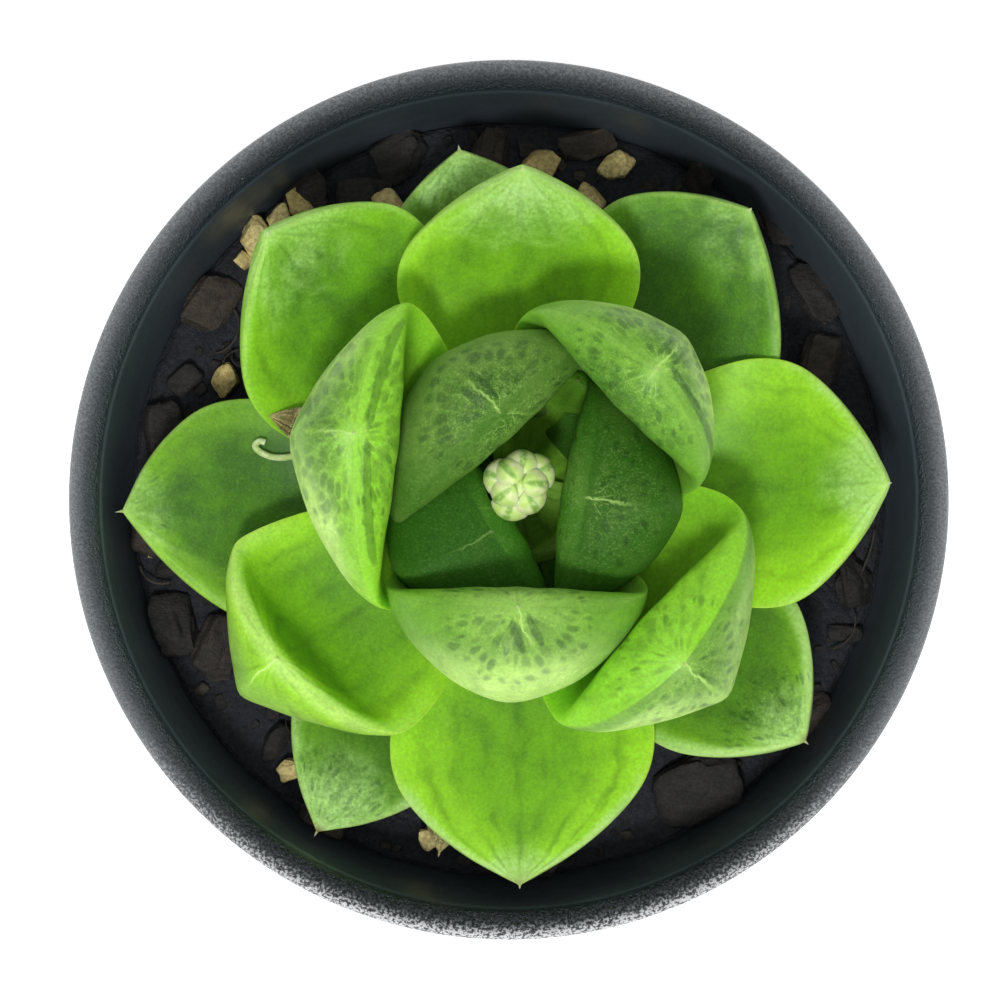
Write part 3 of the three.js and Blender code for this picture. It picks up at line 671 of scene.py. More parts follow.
def leaf_material(name, deep, mid, bright, yellow, clearness, gloss=0.25):
    """Soft green flesh under a skin that takes its colours from leaf_look's fields."""
    s = Shader(name)
    pale = "#cff88a"
    band, tip, windows = s.field("band"), s.field("tip_mm"), s.field("windows")
    cloud = s.noise(6, detail=2)
    patch = s.noise(3, distortion=0.6)
    mottle = s.noise(1.3, detail=4, roughness=0.6)
    fleck = s.noise(0.22, detail=2)
    grain = s.noise(0.36, roughness=0.6)
    inputs = {"X": band * STREAK_COLUMNS, "Y": tip * (1 / STREAK_MM), "Z": s.field("back") * 3.1}
    flow = s.outs("CombineXYZ", inputs)["Vector"]
    streak = s.noise(1 / MM, roughness=0.55, where=flow)  # whose cells are counted, not in mm

    # Painted light and shade from leaf_look's fields: tone from shaded to sunlit green, a yellow glow of
    # light shining through, and deep green and pale lime that are partly painted shade and light
    tone = s.field("tone") + (cloud - 0.5) + (patch - 0.5) * 0.55 + (mottle - 0.5) * 0.8
    tone = tone + (streak - 0.5) * s.field("veins") + (fleck - 0.5) * 0.35
    ground = s.mix(tone, mid, bright)
    ground = s.mix(s.field("glow") * s.ramp(patch, 0.3, 0.7, 0.7, 1.1), ground, yellow)
    ground = s.mix(s.field("deep") * s.ramp(mottle, 0.2, 0.8, 0.8, 1), ground, deep)
    ground = s.mix(s.field("pale") * s.ramp(mottle, 0.25, 0.75, 0.75, 1), ground, pale)

    # A milky layer near the tip and the margins
    haze = s.field("haze")
    cover = s.ramp(haze + (patch - 0.5) * s.ramp(haze, 0, 0.3), 0.1, 0.9)
    ground = s.mix(cover * s.ramp(grain, 0.25, 0.7, 0.45, 1), ground, "#b2dc84")

    # Veins run lengthwise and meet at the tip
    wobble = (s.noise(3, detail=2) - 0.5) * 1.3
    across = abs(s.math("FRACT", band * VEIN_COLUMNS + wobble) - 0.5)
    vein = s.ramp(across, 0.15, 0.5) * s.ramp(streak, 0.65, 0.35)
    vein = vein * s.field("veins") * s.ramp(tip, 22, 12, 0.4, 1)
    ground = s.mix(vein * 0.5, ground, deep)

    # Pale specks, lace and threads between the windows
    speckle = s.ramp(fleck, 0.5, 0.68) * s.ramp(windows, 0.05, 0.8, 0.05, 0.14)
    ground = s.mix(speckle, ground, pale)
    lace = s.ramp(abs(s.noise(1.1, roughness=0.6) - 0.5), 0.04, 0)
    lace = lace * s.ramp(tip, 7, 1.5) * s.ramp(windows, 0.1, 0.7, 0, 0.25)
    ground = s.mix(lace, ground, pale)
    spoke = s.ramp(abs(s.math("FRACT", band * SPOKE_COLUMNS + wobble * 1.4) - 0.5), 0.06, 0)
    spoke = spoke * s.ramp(tip, 3.6, 0.8) * s.ramp(mottle, 0.4, 0.55)
    ground = s.mix(spoke * s.ramp(windows, 0.05, 0.6, 0, 0.6), ground, pale)

    # Windows: clear dark ovals, long ones near the tip and smaller ones further out
    near = window_spots(s, 9, 2.6, 0.5) * s.ramp(tip, 1.6, 2.3) * s.ramp(tip, 5, 4)
    far = window_spots(s, 17, 2, 3.2) * s.ramp(tip, 3.8, 4.6)
    broad = window_spots(s, 8, 2.9, 1.7) * s.ramp(tip, 1.4, 2.2) * s.field("broad")
    clear = s.most(s.most(near, far), broad) * s.ramp(windows, 0.02, 0.3)
    ground = s.mix(clear * clearness, ground, (0.42, 0.47, 0.6), "MULTIPLY")
    rail = s.ramp(s.field("rail") + (mottle - 0.5) * 0.5, 0.3, 0.65) * s.ramp(s.field("rail"), 0.02, 0.2)
    ground = s.mix(rail * 0.85, ground, (0.5, 0.54, 0.66), "MULTIPLY")

    # The pale line of the keel, a painted highlight along its ridge, then the brown tip and the awn
    wander = (s.noise(1.1, roughness=0.6) - 0.5) * 1.3
    line = s.ramp(abs(s.field("keel_mm") + wander) + grain * 0.25, 0.36, 0.12)
    ground = s.mix(line * s.field("keel_line"), ground, pale)
    ground = s.mix(s.field("brown") * s.ramp(mottle, 0.3, 0.6, 0.5, 1), ground, "#6b3a20")
    ground = s.mix(s.ramp(tip, 0.7, 0.2) * s.field("awn"), ground, "#c4d696")

    glassy = s.most(clear, rail)
    height = glassy * 0.4 + mottle * 0.35 + (fleck + grain + vein) * 0.15
    light = grain * 0.6 + 0.7
    light = s.outs("CombineColor", {"Red": light, "Green": light, "Blue": light})["Color"]
    return s.surface(
        base_color=s.mix(1, ground, light, "MULTIPLY"), normal=s.bump(height, 0.1),
        roughness=s.ramp(glassy, 0, 1, 0.7 - gloss, 0.61 - gloss) + (fleck - 0.5) * 0.2,
        specular_ior_level=gloss, subsurface_weight=0.5, subsurface_radius=(0.8, 1, 0.25),
        subsurface_scale=2 * MM,
    )


def leaf_materials():
    return {
        # The inner leaves' copy is darker and less glossy: partly their own deeper green, partly painted
        # shade down in the cup
        "leaf_inner": leaf_material("leaf inner", "#275a0e", "#3a7418", "#688f3a", "#6ea428", 0.75, 0.12),
        "leaf_middle": leaf_material("leaf middle", "#2f6310", "#528a28", "#78ac42", "#96da34", 0.8),
        "leaf_outer": leaf_material("leaf outer", "#35661a", "#4c7c2c", "#76b622", "#a6e42c", 0.75),
    }


def simple_material(name, dark, light, rough, size_mm, depth_mm, **more):
    """Two tones mixed by noise of that size, with a bump of that depth."""
    s = Shader(name)
    broad = s.noise(size_mm, detail=5, roughness=0.6)
    fine = s.noise(size_mm / 5)
    colour = s.two_tone(broad, 0.35, 0.65, dark, light)
    return s.surface(
        base_color=s.mix(s.ramp(fine, 0.55, 0.75) * 0.4, colour, light),
        roughness=s.ramp(fine, 0.3, 0.7, rough - 0.1, rough + 0.1),
        normal=s.bump(broad + fine * 0.5, depth_mm), **more,
    )


def pot_material():
    """Recycled black plastic: smooth walls with faint flow marks, and a rim with a sparkling grain. Its light
    is partly painted: a lighter inner wall, a paler outer rim and sides as painted reflection, and painted
    glints on the rim's front.
    """
    s = Shader("pot plastic")
    place = s.outs("SeparateXYZ", {"Vector": s.place})
    x, y, z = (place[axis] * (1 / MM) for axis in "XYZ")
    under_top = z * -1 + POT_HEIGHT
    from_edge = s.math("SQRT", x * x + y * y) * -1 + RIM_RADIUS
    aside, ahead = abs(x) * (1 / RIM_RADIUS), y * (-1 / RIM_RADIUS)
    painted_light_sides, front, near = s.ramp(aside, 0.5, 0.9), s.ramp(ahead, 0.4, 1), s.ramp(ahead, 0.1, 0.75)
    grain = s.noise(0.28, roughness=0.6)
    pits = s.noise(0.8, detail=2)
    flow = s.noise(9, detail=4)
    scuff = s.noise(2.2, detail=5, roughness=0.7)

    # Painted light: the wall is lighter inside than outside, most of all at the sides; outside it is scuffed
    inner = s.two_tone(flow, 0.3, 0.7, "#394149", "#444d56")
    inner = s.mix(painted_light_sides * 0.6, inner, "#5a6570")
    outer = s.two_tone(flow, 0.3, 0.7, "#17191c", "#202327")
    outer = s.mix(s.ramp(scuff, 0.56, 0.72) * 0.5, outer, "#3a3f44")
    colour = s.mix(s.field("inside"), outer, inner)

    # The rim is dark, and pales outwards and at the sides, with a grain and less at the front: painted
    # reflection of the bright room on its rounded outer edge
    rim = s.mix(s.ramp(from_edge, 2, 1.4), s.ramp(under_top, 0.9, 0.1), s.ramp(under_top, 1.9, 0.9))
    outward = s.ramp(from_edge, 2.6, 0.3)
    colour = s.mix(rim, colour, "#21272c")
    # Painted light: the rim's inner part, where it turns down into shade, is lighter, most of all at the
    # sides
    inner_rim_painted_light = s.mix(painted_light_sides * 0.6, "#2f363d", "#4c545c")
    colour = s.mix(rim * s.ramp(from_edge, 1.6, 3), colour, inner_rim_painted_light)
    colour = s.mix(rim * painted_light_sides * (outward * 0.3 + 0.12), colour, "#7a8288")
    pale_share = rim * outward * s.ramp(grain, 0.35, 0.7, 0.3, 1) * (near * -0.45 + 1)
    colour = s.mix(pale_share, colour, "#8d9498")

    # Painted glints on the front of the rim: near-white specks on its grain where the lamp would glitter,
    # with dark specks between them
    painted_glint_mask = rim * outward * outward * front
    sparks = s.noise(0.3, detail=2, roughness=0.6) + painted_glint_mask * 0.1
    colour = s.mix(s.ramp(sparks, 0.54, 0.61) * painted_glint_mask, colour, "#f8fafc")
    colour = s.mix(s.ramp(sparks, 0.5, 0.43) * front * rim, colour, "#0e1012")
    rough = s.mix(rim, s.ramp(scuff, 0.3, 0.7, 0.34, 0.48), s.ramp(grain, 0.3, 0.7, 0.14, 0.36))
    height = (grain + pits * 0.5) * (rim + 0.03)
    return s.surface(base_color=colour, roughness=rough, normal=s.bump(height, 0.6), specular_ior_level=0.5)


# The pot


def outside(z):
    return FOOT_RADIUS + WALL_LEAN * z


def inside(z):
    return outside(z) - WALL


def pot_profile():
    """The pot's outline as (radius, height), from the middle of its floor over the rim and under."""
    middle, half = RIM_RADIUS - RIM_WIDTH / 2, RIM_WIDTH / 2
    floor_top = FOOT_LIFT + FLOOR
    corners = [
        [(0, floor_top), (inside(floor_top) - 1, floor_top)],
        [(inside(floor_top + 1), floor_top + 1), (inside(SOIL_TOP), SOIL_TOP)],
        [(inside(SOIL_TOP), SOIL_TOP), (RIM_RADIUS - RIM_WIDTH, POT_HEIGHT - half)],
    ]
    line = []
    for (r0, z0), (r1, z1) in corners:
        pieces = max(2, int(math.hypot(r1 - r0, z1 - z0) / 2.5))
        line += [(r0 + (r1 - r0) * k / pieces, z0 + (z1 - z0) * k / pieces) for k in range(pieces)]
    steps = 18
    for k in range(steps + 1):
        a = math.pi - math.pi * k / steps
        line.append((middle + half * math.cos(a), POT_HEIGHT - half + half * math.sin(a)))
    line += [
        (RIM_RADIUS - 0.15, WALL_TOP + 4), (RIM_RADIUS - 0.28, WALL_TOP + 0.6),
        (RIM_RADIUS - 0.4, WALL_TOP + 0.2), (RIM_RADIUS - 0.7, WALL_TOP),
        (WALL_TOP_RADIUS + 0.25, WALL_TOP), (WALL_TOP_RADIUS, WALL_TOP - 0.25),
    ]
    for k in range(1, 20):
        z = WALL_TOP - (WALL_TOP - 1.4) * k / 20
        line.append((outside(z), z))
    line += [
        (outside(1.3), 1.3), (FOOT_RADIUS - 0.1, 0.5), (FOOT_RADIUS - 0.4, 0.12), (FOOT_RADIUS - 0.8, 0),
        (FOOT_RADIUS - FOOT_RING, 0), (FOOT_RADIUS - FOOT_RING - 0.3, 0.25),
        (FOOT_RADIUS - FOOT_RING - 1, FOOT_LIFT), (0, FOOT_LIFT),
    ]
    return line


def pot_inside(points):
    """1 on the pot's inner side and 0 on its outer side, told apart by how far out a point is."""
    x, y, z = points.T
    return ((np.hypot(x, y) < outside(z) - WALL / 2) & (z > FOOT_LIFT + 1)).astype(float)


def turned(profile, segments, x=0, y=0):
    """A body turned round an upright axis, on which its outline starts and ends."""
    angle = np.linspace(0, 2 * np.pi, segments, endpoint=False)
    rings = np.array([[(*polar(r, a), z) for a in angle] for r, z in profile[1:-1]]) + (x, y, 0)
    return closed_body((x, y, profile[0][1]), rings, (x, y, profile[-1][1]))


def make_pot():
    points, faces = turned(pot_profile(), 256)
    fields = {"inside": pot_inside(points)}
    pot = make_object("pot_shell", points, faces, pot_material(), fields, sharp_degrees=35)
    shape = [(0, 0), (DRAIN_RADIUS, 0), (DRAIN_RADIUS, 8), (0, 8)]
    drills = []
    for k in range(DRAINS):
        a = 2 * math.pi * (k + 0.5) / DRAINS
        drills.append(make_object(f"drill_{k}", *turned(shape, 48, *polar(DRAIN_CIRCLE, a))))
    cut_clear(pot, drills)
    for drill in drills:
        bpy.data.objects.remove(drill)
    dress(pot, "pot_plastic", "pot")


# The rosette


def slot_of(number):
    if number < 5:
        return "leaf_inner"
    return "leaf_middle" if number < 9 else "leaf_outer"


def make_rosette():
    """Every leaf at full detail, each pressed into by the ones inside it."""
    materials = {**leaf_materials(), "dry_tissue": dry_material()}
    stem_room = turned(stem_profile(CLEARANCE), 48, *HEART)
    stalk = [(0, 69.5), (1.4, 69.5), (1.4, 77), (3.1, 79), (3.2, 84), (0, 85.5)]
    stalk_room = turned(stalk, 32, *HEART)
    rooms = [(make_object("stem_room", *stem_room), stem_room[0])]
    rooms.append((make_object("stalk_room", *stalk_room), stalk_room[0]))
    for number, leaf in enumerate(LEAVES + DRY_LEAVES):
        dry = number - len(LEAVES) + 1
        if dry > 0:
            node, part, slot, detail = f"dry_leaf_{dry:02d}", "tissue", "dry_tissue", DRY_DETAIL
        else:
            node, part, slot, detail = f"leaf_{number + 1:02d}", "flesh", slot_of(number), FLESH_DETAIL
        points, faces, fields = leaf_mesh(leaf, *detail)
        piece = make_object(f"{node}_{part}", points, faces, materials[slot], fields)
        cut_clear(piece, [room for room, spots in rooms if boxes_meet(points, spots)])
        dress(piece, slot, node)
        points, faces, _ = leaf_mesh(leaf, *ROOM_DETAIL, CLEARANCE, look=False)
        rooms.append((make_object(f"room_{number}", points, faces), points))
    return rooms


def dry_material():
    """Papery tissue, olive to tan, with paler creases."""
    s = Shader("dry tissue")
    broad = s.noise(1.8, detail=4)
    crest = s.ramp(abs(s.noise(0.8, distortion=1.2) - 0.5), 0.07, 0)
    colour = s.mix(crest * 0.6, s.two_tone(broad, 0.35, 0.65, "#7e7242", "#b6ac70"), "#dcd6a0")
    return s.surface(
        base_color=colour, roughness=0.8, normal=s.bump(broad + crest, 0.2),
        subsurface_weight=0.2, subsurface_scale=0.8 * MM,
    )


# A shred of dry leaf that curls up beside the left-hand leaves, seen from above
CURL = [
    (-23.7, 5.6), (-24.3, 5.8), (-24.8, 5.4), (-24.6, 4.9), (-24, 4.5),
    (-23.2, 4.2), (-22.4, 4.1), (-21.4, 4.2), (-20.6, 4.4),
]


def make_curl(rooms):
    """The shred lies on whatever is under it and stands up no faster than it can bend."""
    tree = overhead_tree(rooms)
    line = []
    for x, y in CURL:
        height = tree.ray_cast(Vector((x, y, 120)), Vector((0, 0, -1)))[0].z + 0.35
        line.append((x, y, min(height, line[-1][2] + 0.4) if line else height))
    line = np.array(line)
    at = np.linspace(0, 1, len(line))
    fine = np.linspace(0, 1, 40)
    line = np.stack([np.interp(fine, at, line[:, k]) for k in range(3)], axis=1)
    for _ in range(3):
        line[1:-1] = (line[:-2] + line[1:-1] * 2 + line[2:]) / 4
    points, faces = tube(line, 0.33, 12)
    material = simple_material(
        "curled shred", "#b4cf74", "#e6f2c2", 0.6, 0.9, 0.1,
        subsurface_weight=0.3, subsurface_scale=0.6 * MM,
    )
    dress(make_object("dry_leaf_01_curl", points, faces, material), "dry_tissue")


def stem_profile(grow=0.0):
    radius = STEM_RADIUS + grow
    return [
        (0, stem_low.z - grow), (radius - 1, stem_low.z - grow), (radius, stem_low.z + 4),
        (radius, stem_high.z - 1), (radius - 0.6, stem_high.z + grow), (0, stem_high.z + grow),
    ]


def make_stem():
    material = simple_material("stem tissue", "#5e6a33", "#a3ad6a", 0.6, 1.2, 0.1)
    stem = make_object("stem_core", *turned(stem_profile(), 48, *HEART), material)
    dress(stem, "stem_tissue", "stem")


def bract_material():
    """Pale lime with a green stripe down the middle."""
    s = Shader("bract")
    off_middle = abs(s.field("band") - 0.5)
    fine = s.noise(0.5)
    colour = s.two_tone(s.noise(1.2, detail=2), 0.35, 0.65, "#d2f488", "#f0ffbc")
    colour = s.mix(s.ramp(off_middle, 0.36, 0.48), colour, "#f0fcd0")
    stripe = s.ramp(off_middle, 0.13, 0.03) * s.ramp(fine, 0.3, 0.6, 0.4, 0.9)
    colour = s.mix(stripe * s.ramp(s.field("tip_mm"), 0.3, 1), colour, "#7fb446")
    return s.surface(
        base_color=colour, roughness=0.42, normal=s.bump(fine, 0.04),
        subsurface_weight=0.5, subsurface_radius=(0.9, 1, 0.6), subsurface_scale=0.9 * MM,
    )


def make_spike():
    """The young flower spike: a short stalk under a tight head of bracts, each with a green middle."""
    material = bract_material()
    foot = stem_high.z + GAP
    stalk = [(0, foot), (1.3, foot), (1.15, 74), (1.2, 78.5), (2, 80.2), (2.2, 81.8), (1.4, 83.3), (0, 83.8)]
    points, faces = turned(stalk, 32, *HEART)
    fields = {"band": np.full(len(points), 0.35), "tip_mm": np.full(len(points), 5)}
    dress(make_object("spike_stalk", points, faces, material, fields), "bract", "flower_spike")
    bracts = 8
    for k in range(bracts):
        inner = k / (bracts - 1)
        bract = leaf_row(
            250 + 137.5 * k, 0, 1.6 - 1.6 * inner, 82.8 + 1.9 * inner, (30, 165), (0.5, 0.5),
            1.8 - 0.3 * inner, 0.4, 0.75, 0.5, 0.4, BLUNT, foot=1.5 - 0.7 * inner, low=78.6 + 1.6 * inner,
            awn=0.05, ribs=0.5,
        )
        points, faces, fields = leaf_mesh(bract, 40, 36)
        dress(make_object(f"spike_bract_{k + 1}", points, faces, material, fields), "bract")


# The filling


CHIPS = [
    (-11, 34.5, 6, 4.5, 2.2, 35, 25), (-1.8, 34, 7, 4, 2.4, 80, 35), (-34.5, 6.8, 6, 3.8, 2.4, 95, 20),
    (-30, 19.5, 6.5, 4.5, 2.4, 60, 25), (-33.5, -12.5, 6.5, 5, 2.6, 110, 15), (-29, -15, 7, 4.5, 2.6, 70, 30),
    (19, -29, 9, 6.5, 2.4, 25, 8), (31, 21, 6.5, 4.5, 2.4, 120, 25), (31.5, 13.5, 6, 4.5, 2.2, 75, 30),
    (19, 32, 2.4, 7.5, 2.2, 5, 60), (-20.5, 30, 6, 4, 2, 40, 25), (8, 35.5, 5.5, 3.4, 2, 10, 20),
    (-36, -3, 5, 3.5, 2.2, 85, 20), (34.5, -8, 5.5, 3.5, 2.2, 100, 25), (30, -22, 6, 4, 2.4, 45, 20),
    (-18, -31.5, 6, 4, 2.2, 150, 20), (3, -36, 6, 3.6, 2.2, 175, 20), (27, 27.5, 5, 3.6, 2, 130, 25),
]
PUMICE = [
    (-20.9, 29.7, 2.3), (-23, 28.1, 2.1), (-25.3, 26.3, 2.8), (-26.6, 24, 1.4), (-12, 29.7, 2.2),
    (3.2, 33.7, 2.6), (8.2, 30, 2.4), (10.8, 33.4, 2.4), (-28.4, 12, 2.2), (-21.8, -27, 2), (-7.9, -34, 1.8),
]


MIX_SEED = 20417
LUMP_TRIES = 420
FIBRES = 46
BIG_SHARE = 0.35
PUMICE_SHARE = 0.015


def rough_lump(rng, long, wide, thick, cuts, facets, grainy):
    """A block knocked into an angular lump: planes cut off its corners, and a grain runs along it."""
    body = bmesh.new()
    bmesh.ops.create_cube(body, size=1)
    bmesh.ops.subdivide_edges(body, edges=body.edges, cuts=cuts, use_grid_fill=True)
    points = np.array([v.co for v in body.verts]) * 2
    faces = [tuple(v.index for v in f.verts) for f in body.faces]
    body.free()
    power = 5
    round_size = (np.abs(points) ** power).sum(1) ** (1 / power)
    points = points / round_size[:, None] * np.abs(points).max(1)[:, None]
    for _ in range(facets):
        ahead = rng.normal(size=3)
        ahead /= np.linalg.norm(ahead)
        depth = rng.uniform(0.62, 0.95) * np.abs(ahead).sum() ** 0.5
        points -= np.maximum(points @ ahead - depth, 0)[:, None] * ahead
    points *= (long / 2, wide / 2, thick / 2)
    points[:, 0] += rng.uniform(-0.25, 0.25) * points[:, 1]
    offset = Vector(rng.uniform(-50, 50, 3))
    streaks = [noise.noise(Vector((x * 0.3, y * 1.8, z * 2.6)) + offset) for x, y, z in points]
    out = points / np.maximum(np.linalg.norm(points, axis=1, keepdims=True), 1e-6)
    return points + out * (grainy * np.array(streaks))[:, None], faces


def turned_by(points, tilt_x, tilt_y, turn):
    turn_matrix = (
        Matrix.Rotation(math.radians(turn), 3, "Z")
        @ Matrix.Rotation(math.radians(tilt_y), 3, "Y")
        @ Matrix.Rotation(math.radians(tilt_x), 3, "X")
    )
    return points @ np.array(turn_matrix).T


class Heap:
    """Many small bodies gathered into one mesh."""

    def __init__(self):
        self.points, self.faces, self.count, self.fields = [], [], 0, []

    def add(self, points, faces, shade=0.5):
        self.points.append(points)
        self.faces += [tuple(i + self.count for i in face) for face in faces]
        self.fields.append(np.full(len(points), shade))
        self.count += len(points)

    def mesh(self, name, material, sharp=32):
        fields = {"shade": np.concatenate(self.fields)}
        return make_object(name, np.concatenate(self.points), self.faces, material, fields, sharp)


def bed_height(x, y):
    """Height of the filling's surface between the chips."""
    spot = Vector((x / 5.5, y / 5.5, 3.7))
    fine = Vector((x / 1.1, y / 1.1, 9.1))
    return SOIL_TOP - 0.45 + 0.75 * noise.noise(spot) + 0.32 * noise.noise(fine)


def make_bed(material):
    """The plug of filling that follows the pot's inside, with a crumbly top."""
    sides, top_rings = 224, 70
    bottom = FOOT_LIFT + FLOOR + GAP
    angle = np.linspace(0, 2 * np.pi, sides, endpoint=False)
    outer = inside(SOIL_TOP) - GAP
    profile = [(inside(bottom) - 1.4, bottom), (inside(bottom + 1.6) - GAP, bottom + 1.6)]
    profile += [(inside(z) - GAP, z) for z in np.linspace(8, SOIL_TOP - 1.2, 16)]
    rings = [[(*polar(r, a), z) for a in angle] for r, z in profile]
    for k in range(top_rings):
        r = outer - (outer - 3) * k / (top_rings - 1)
        spots = [polar(r, a) for a in angle]
        rings.append([(x, y, bed_height(x, y) - (0.5 if k == 0 else 0)) for x, y in spots])
    points, faces = closed_body((0, 0, bottom), rings, (0, 0, SOIL_TOP - 0.4))
    return make_object("mix_bed", points, faces, material, sharp_degrees=80)


def mix_materials():
    """The materials of the crumbly bed, the bark and the pumice."""
    s = Shader("mix bed")
    broad = s.noise(2.4, detail=6, roughness=0.65)
    fine = s.noise(0.5, detail=4)
    colour = s.two_tone(broad, 0.35, 0.65, "#171a20", "#22262d")
    bed = s.surface(
        base_color=s.mix(s.ramp(fine, 0.62, 0.78) * 0.3, colour, "#33322f"),
        roughness=s.ramp(fine, 0.3, 0.7, 0.65, 0.95), normal=s.bump(broad + fine, 0.5),
    )

    s = Shader("bark")
    lengthwise = s.outs("Mapping", {"Vector": s.place, "Scale": (0.5, 1.4, 1.4)})["Vector"]
    streaks = s.noise(1.2, detail=6, roughness=0.7, where=lengthwise)
    fine = s.noise(0.3)
    colour = s.two_tone(streaks, 0.35, 0.68, "#191919", "#2c2926")
    pale_share = s.ramp(s.field("shade"), 0.45, 1) * s.ramp(streaks, 0.3, 0.7, 0.3, 0.9)
    colour = s.mix(pale_share, colour, "#50463c")
    bark = s.surface(
        base_color=s.mix(s.ramp(fine, 0.6, 0.78) * 0.3, colour, "#6a6056"),
        roughness=s.ramp(fine, 0.3, 0.7, 0.6, 0.9), normal=s.bump(streaks + fine * 0.4, 0.3),
    )

    s = Shader("pumice")
    holes = s.noise(0.45, detail=4, roughness=0.7)
    tint = s.mix(s.field("shade"), "#c4a860", "#f4e6a0")
    pumice = s.surface(
        base_color=s.mix(s.ramp(holes, 0.6, 0.4, 0, 0.55), tint, "#947a40"), roughness=0.85,
        normal=s.bump(holes, 0.25), subsurface_weight=0.1, subsurface_scale=0.4 * MM,
    )
    return bed, bark, pumice


def make_mix(rooms):
    """The bed with bark chips and pumice at their places, smaller lumps between, and root fibres."""
    bed_look, bark_look, pumice_look = mix_materials()
    rng = np.random.default_rng(MIX_SEED)
    bed = make_bed(bed_look)
    leaf_tree = overhead_tree(rooms)
    outer = inside(SOIL_TOP) - GAP

    bark, pumice = Heap(), Heap()
    taken = []
    for x, y, long, wide, thick, turn, tilt in CHIPS:
        points, faces = rough_lump(rng, long, wide, thick, 9, 9, 0.3)
        points = turned_by(points, tilt, rng.uniform(-12, 12), turn)
        bark.add(settle(points, x, y, SOIL_TOP + 0.25, leaf_tree, outer), faces, rng.uniform(0.2, 0.95))
        taken.append((x, y, 0.3 * long))
    for x, y, size in PUMICE:
        points, faces = rough_lump(rng, size * 1.3, size * 1.1, size, 8, 8, 0.16)
        points = turned_by(points, 0, 0, rng.uniform(0, 360))
        pumice.add(settle(points, x, y, SOIL_TOP + 0.6, leaf_tree, outer), faces, rng.uniform(0.3, 1))
        taken.append((x, y, 0.4 * size))
    for _ in range(LUMP_TRIES):
        a, r = rng.uniform(0, 2 * np.pi), math.sqrt(rng.uniform(20**2, (outer - 0.8) ** 2))
        x, y = polar(r, a)
        kind = rng.uniform()
        long = rng.uniform(2.2, 4.6) if kind < BIG_SHARE else rng.uniform(0.6, 1.6)
        crowded = any(math.hypot(x - u, y - v) < 0.3 * long + w for u, v, w in taken)
        if crowded or r + long * 0.42 > outer:
            continue
        taken.append((x, y, 0.3 * long))
        wide, thick = long * rng.uniform(0.45, 0.85), long * rng.uniform(0.3, 0.5)
        points, faces = rough_lump(rng, long, wide, thick, 6 if kind < BIG_SHARE else 3, 6, 0.14)
        points = turned_by(points, rng.uniform(-35, 35), rng.uniform(-20, 20), rng.uniform(0, 360))
        placed = settle(points, x, y, bed_height(x, y) + 0.15, leaf_tree, outer)
        heap = pumice if kind > 1 - PUMICE_SHARE else bark
        heap.add(placed, faces, rng.uniform(0, 1) ** 2)
    cut_clear(bed, [room for room, _ in rooms])
    dress(bed, "mix", "potting_mix")
    dress(bark.mesh("mix_bark", bark_look), "mix")
    dress(pumice.mesh("mix_pumice", pumice_look), "mix")
    dress(make_fibres(rng, leaf_tree, outer, bark_look), "mix")


def overhead_tree(rooms):
    """The rooms as one surface, for finding what is over or under a place."""
    points, faces = [], []
    for room, spots in rooms:
        count = sum(len(p) for p in points)
        points.append(spots)
        faces += [tuple(i + count for i in polygon.vertices) for polygon in room.data.polygons]
    return BVHTree.FromPolygons(np.concatenate(points).tolist(), faces)


def ceiling(leaf_tree, x, y):
    """Height of the lowest leaf over a place on the filling."""
    hit = leaf_tree.ray_cast(Vector((x, y, 40)), Vector((0, 0, 1)))[0]
    return math.inf if hit is None else hit.z


def settle(points, x, y, z, leaf_tree, outer):
    """Puts a lump on the filling, lower where a leaf is close over it, and inside the pot's wall."""
    placed = points + (x, y, z)
    probes = placed[:: max(1, len(placed) // 24)]
    placed[:, 2] -= max(0, *(top + 0.15 - ceiling(leaf_tree, u, v) for u, v, top in probes))
    radius = np.hypot(placed[:, 0], placed[:, 1])
    limit = outer + 0.25 + np.maximum(placed[:, 2] - SOIL_TOP, 0) * 0.15
    scale = np.minimum(1, limit / radius)
    placed[:, :2] *= scale[:, None]
    return placed


def make_fibres(rng, leaf_tree, outer, material):
    """Thin roots that lie in curves on the filling."""
    heap = Heap()
    for _ in range(FIBRES):
        a, r = rng.uniform(0, 2 * np.pi), rng.uniform(27, outer - 2)
        x, y, heading = *polar(r, a), rng.uniform(0, 2 * np.pi)
        curl, length, thick = rng.uniform(-0.35, 0.35), rng.uniform(3, 8), rng.uniform(0.06, 0.13)
        line, steps = [], 14
        for k in range(steps + 1):
            z = bed_height(x, y) + 0.5 + 0.9 * math.sin(math.pi * k / steps) * rng.uniform(0.8, 1)
            line.append((x, y, min(z, ceiling(leaf_tree, x, y) - 0.3)))
            heading += curl
            x += math.cos(heading) * length / steps
            y += math.sin(heading) * length / steps
            far = math.hypot(x, y)
            if far > outer - 0.3:
                x, y = x * (outer - 0.3) / far, y * (outer - 0.3) / far
        heap.add(*tube(np.array(line), thick), rng.uniform(0.3, 1))
    return heap.mesh("mix_fibres", material, 60)


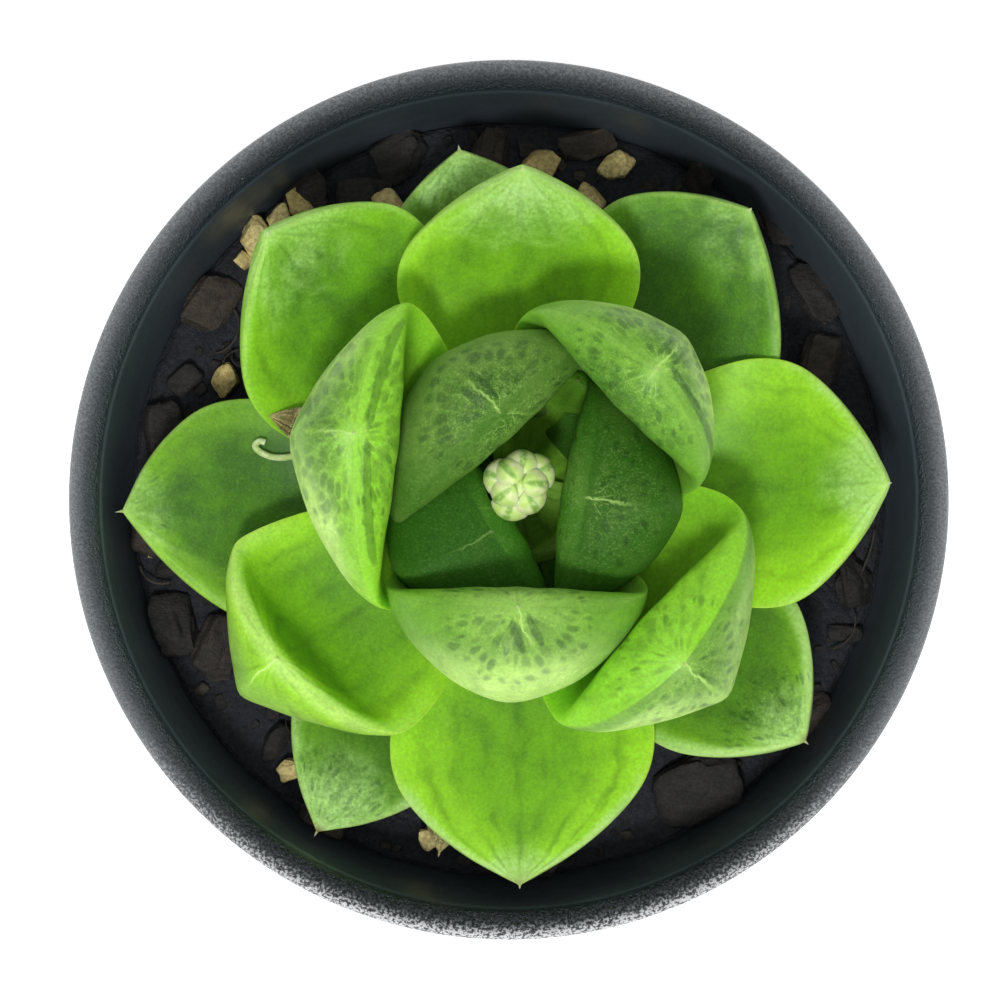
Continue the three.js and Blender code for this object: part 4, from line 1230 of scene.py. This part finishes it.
def tube(line, radius, sides=6):
    """A thin round thread along a line, pinched at both ends."""
    rings = []
    for spot, ahead in zip(line[1:-1], np.gradient(line, axis=0)[1:-1]):
        ahead = ahead / np.linalg.norm(ahead)
        across = np.cross(ahead, (0, 0, 1))
        across /= max(np.linalg.norm(across), 1e-9)
        up = np.cross(across, ahead)
        turns = [2 * math.pi * j / sides for j in range(sides)]
        rings.append([spot + radius * (math.cos(b) * across + math.sin(b) * up) for b in turns])
    return closed_body(line[0], rings, line[-1])


# Stage


def make_stage():
    s = Shader("floor")
    glow = {"emission_color": (1, 1, 1), "emission_strength": 0.65}
    floor_look = s.surface(base_color=(0.93, 0.93, 0.93), roughness=0.6, **glow)
    reach = 3000
    corners = [(-reach, -reach, 0), (reach, -reach, 0), (reach, reach, 0), (-reach, reach, 0)]
    floor = make_object("floor", corners, [(0, 1, 2, 3)], floor_look)

    world = bpy.data.worlds.new("studio")
    world.use_nodes = True
    sky = world.node_tree.nodes["Background"].inputs
    sky["Color"].default_value = (1, 1, 1, 1)
    sky["Strength"].default_value = 0.45
    bpy.context.scene.world = world

    def area_light(name, where, size, power, aim=(0, 0, 70)):
        lamp = bpy.data.lights.new(name, "AREA")
        lamp.shape = "RECTANGLE"
        lamp.size, lamp.size_y = (side * MM for side in size)
        lamp.energy = power
        light = bpy.data.objects.new(name, lamp)
        bpy.context.scene.collection.objects.link(light)
        light.location = Vector(where) * MM
        light.rotation_euler = (Vector(aim) - Vector(where)).to_track_quat("-Z", "Y").to_euler()

    area_light("window light", (-85, -356, 902), (140, 140), 4.2)
    area_light("top light", (0, 0, 1070), (900, 900), 1.4)

    camera = bpy.data.objects.new("camera", bpy.data.cameras.new("camera"))
    bpy.context.scene.collection.objects.link(camera)
    bpy.context.scene.camera = camera
    camera.location = Vector((*CAMERA_OFF_AXIS, POT_HEIGHT + CAMERA_OVER_RIM)) * MM
    camera.data.sensor_width = SENSOR_MM
    focal_px = RIM_RADIUS_PX / RIM_RADIUS * CAMERA_OVER_RIM
    camera.data.lens = SENSOR_MM * focal_px / PICTURE_SIDE_PX
    camera.data.clip_start = 0.01
    camera.data.clip_end = 20

    bpy.context.scene.view_settings.view_transform = "Standard"


make_stage()
make_pot()
make_stem()
leaf_rooms = make_rosette()
make_curl(leaf_rooms)
make_spike()
make_mix(leaf_rooms)
for leaf_room, _ in leaf_rooms:
    bpy.data.objects.remove(leaf_room)
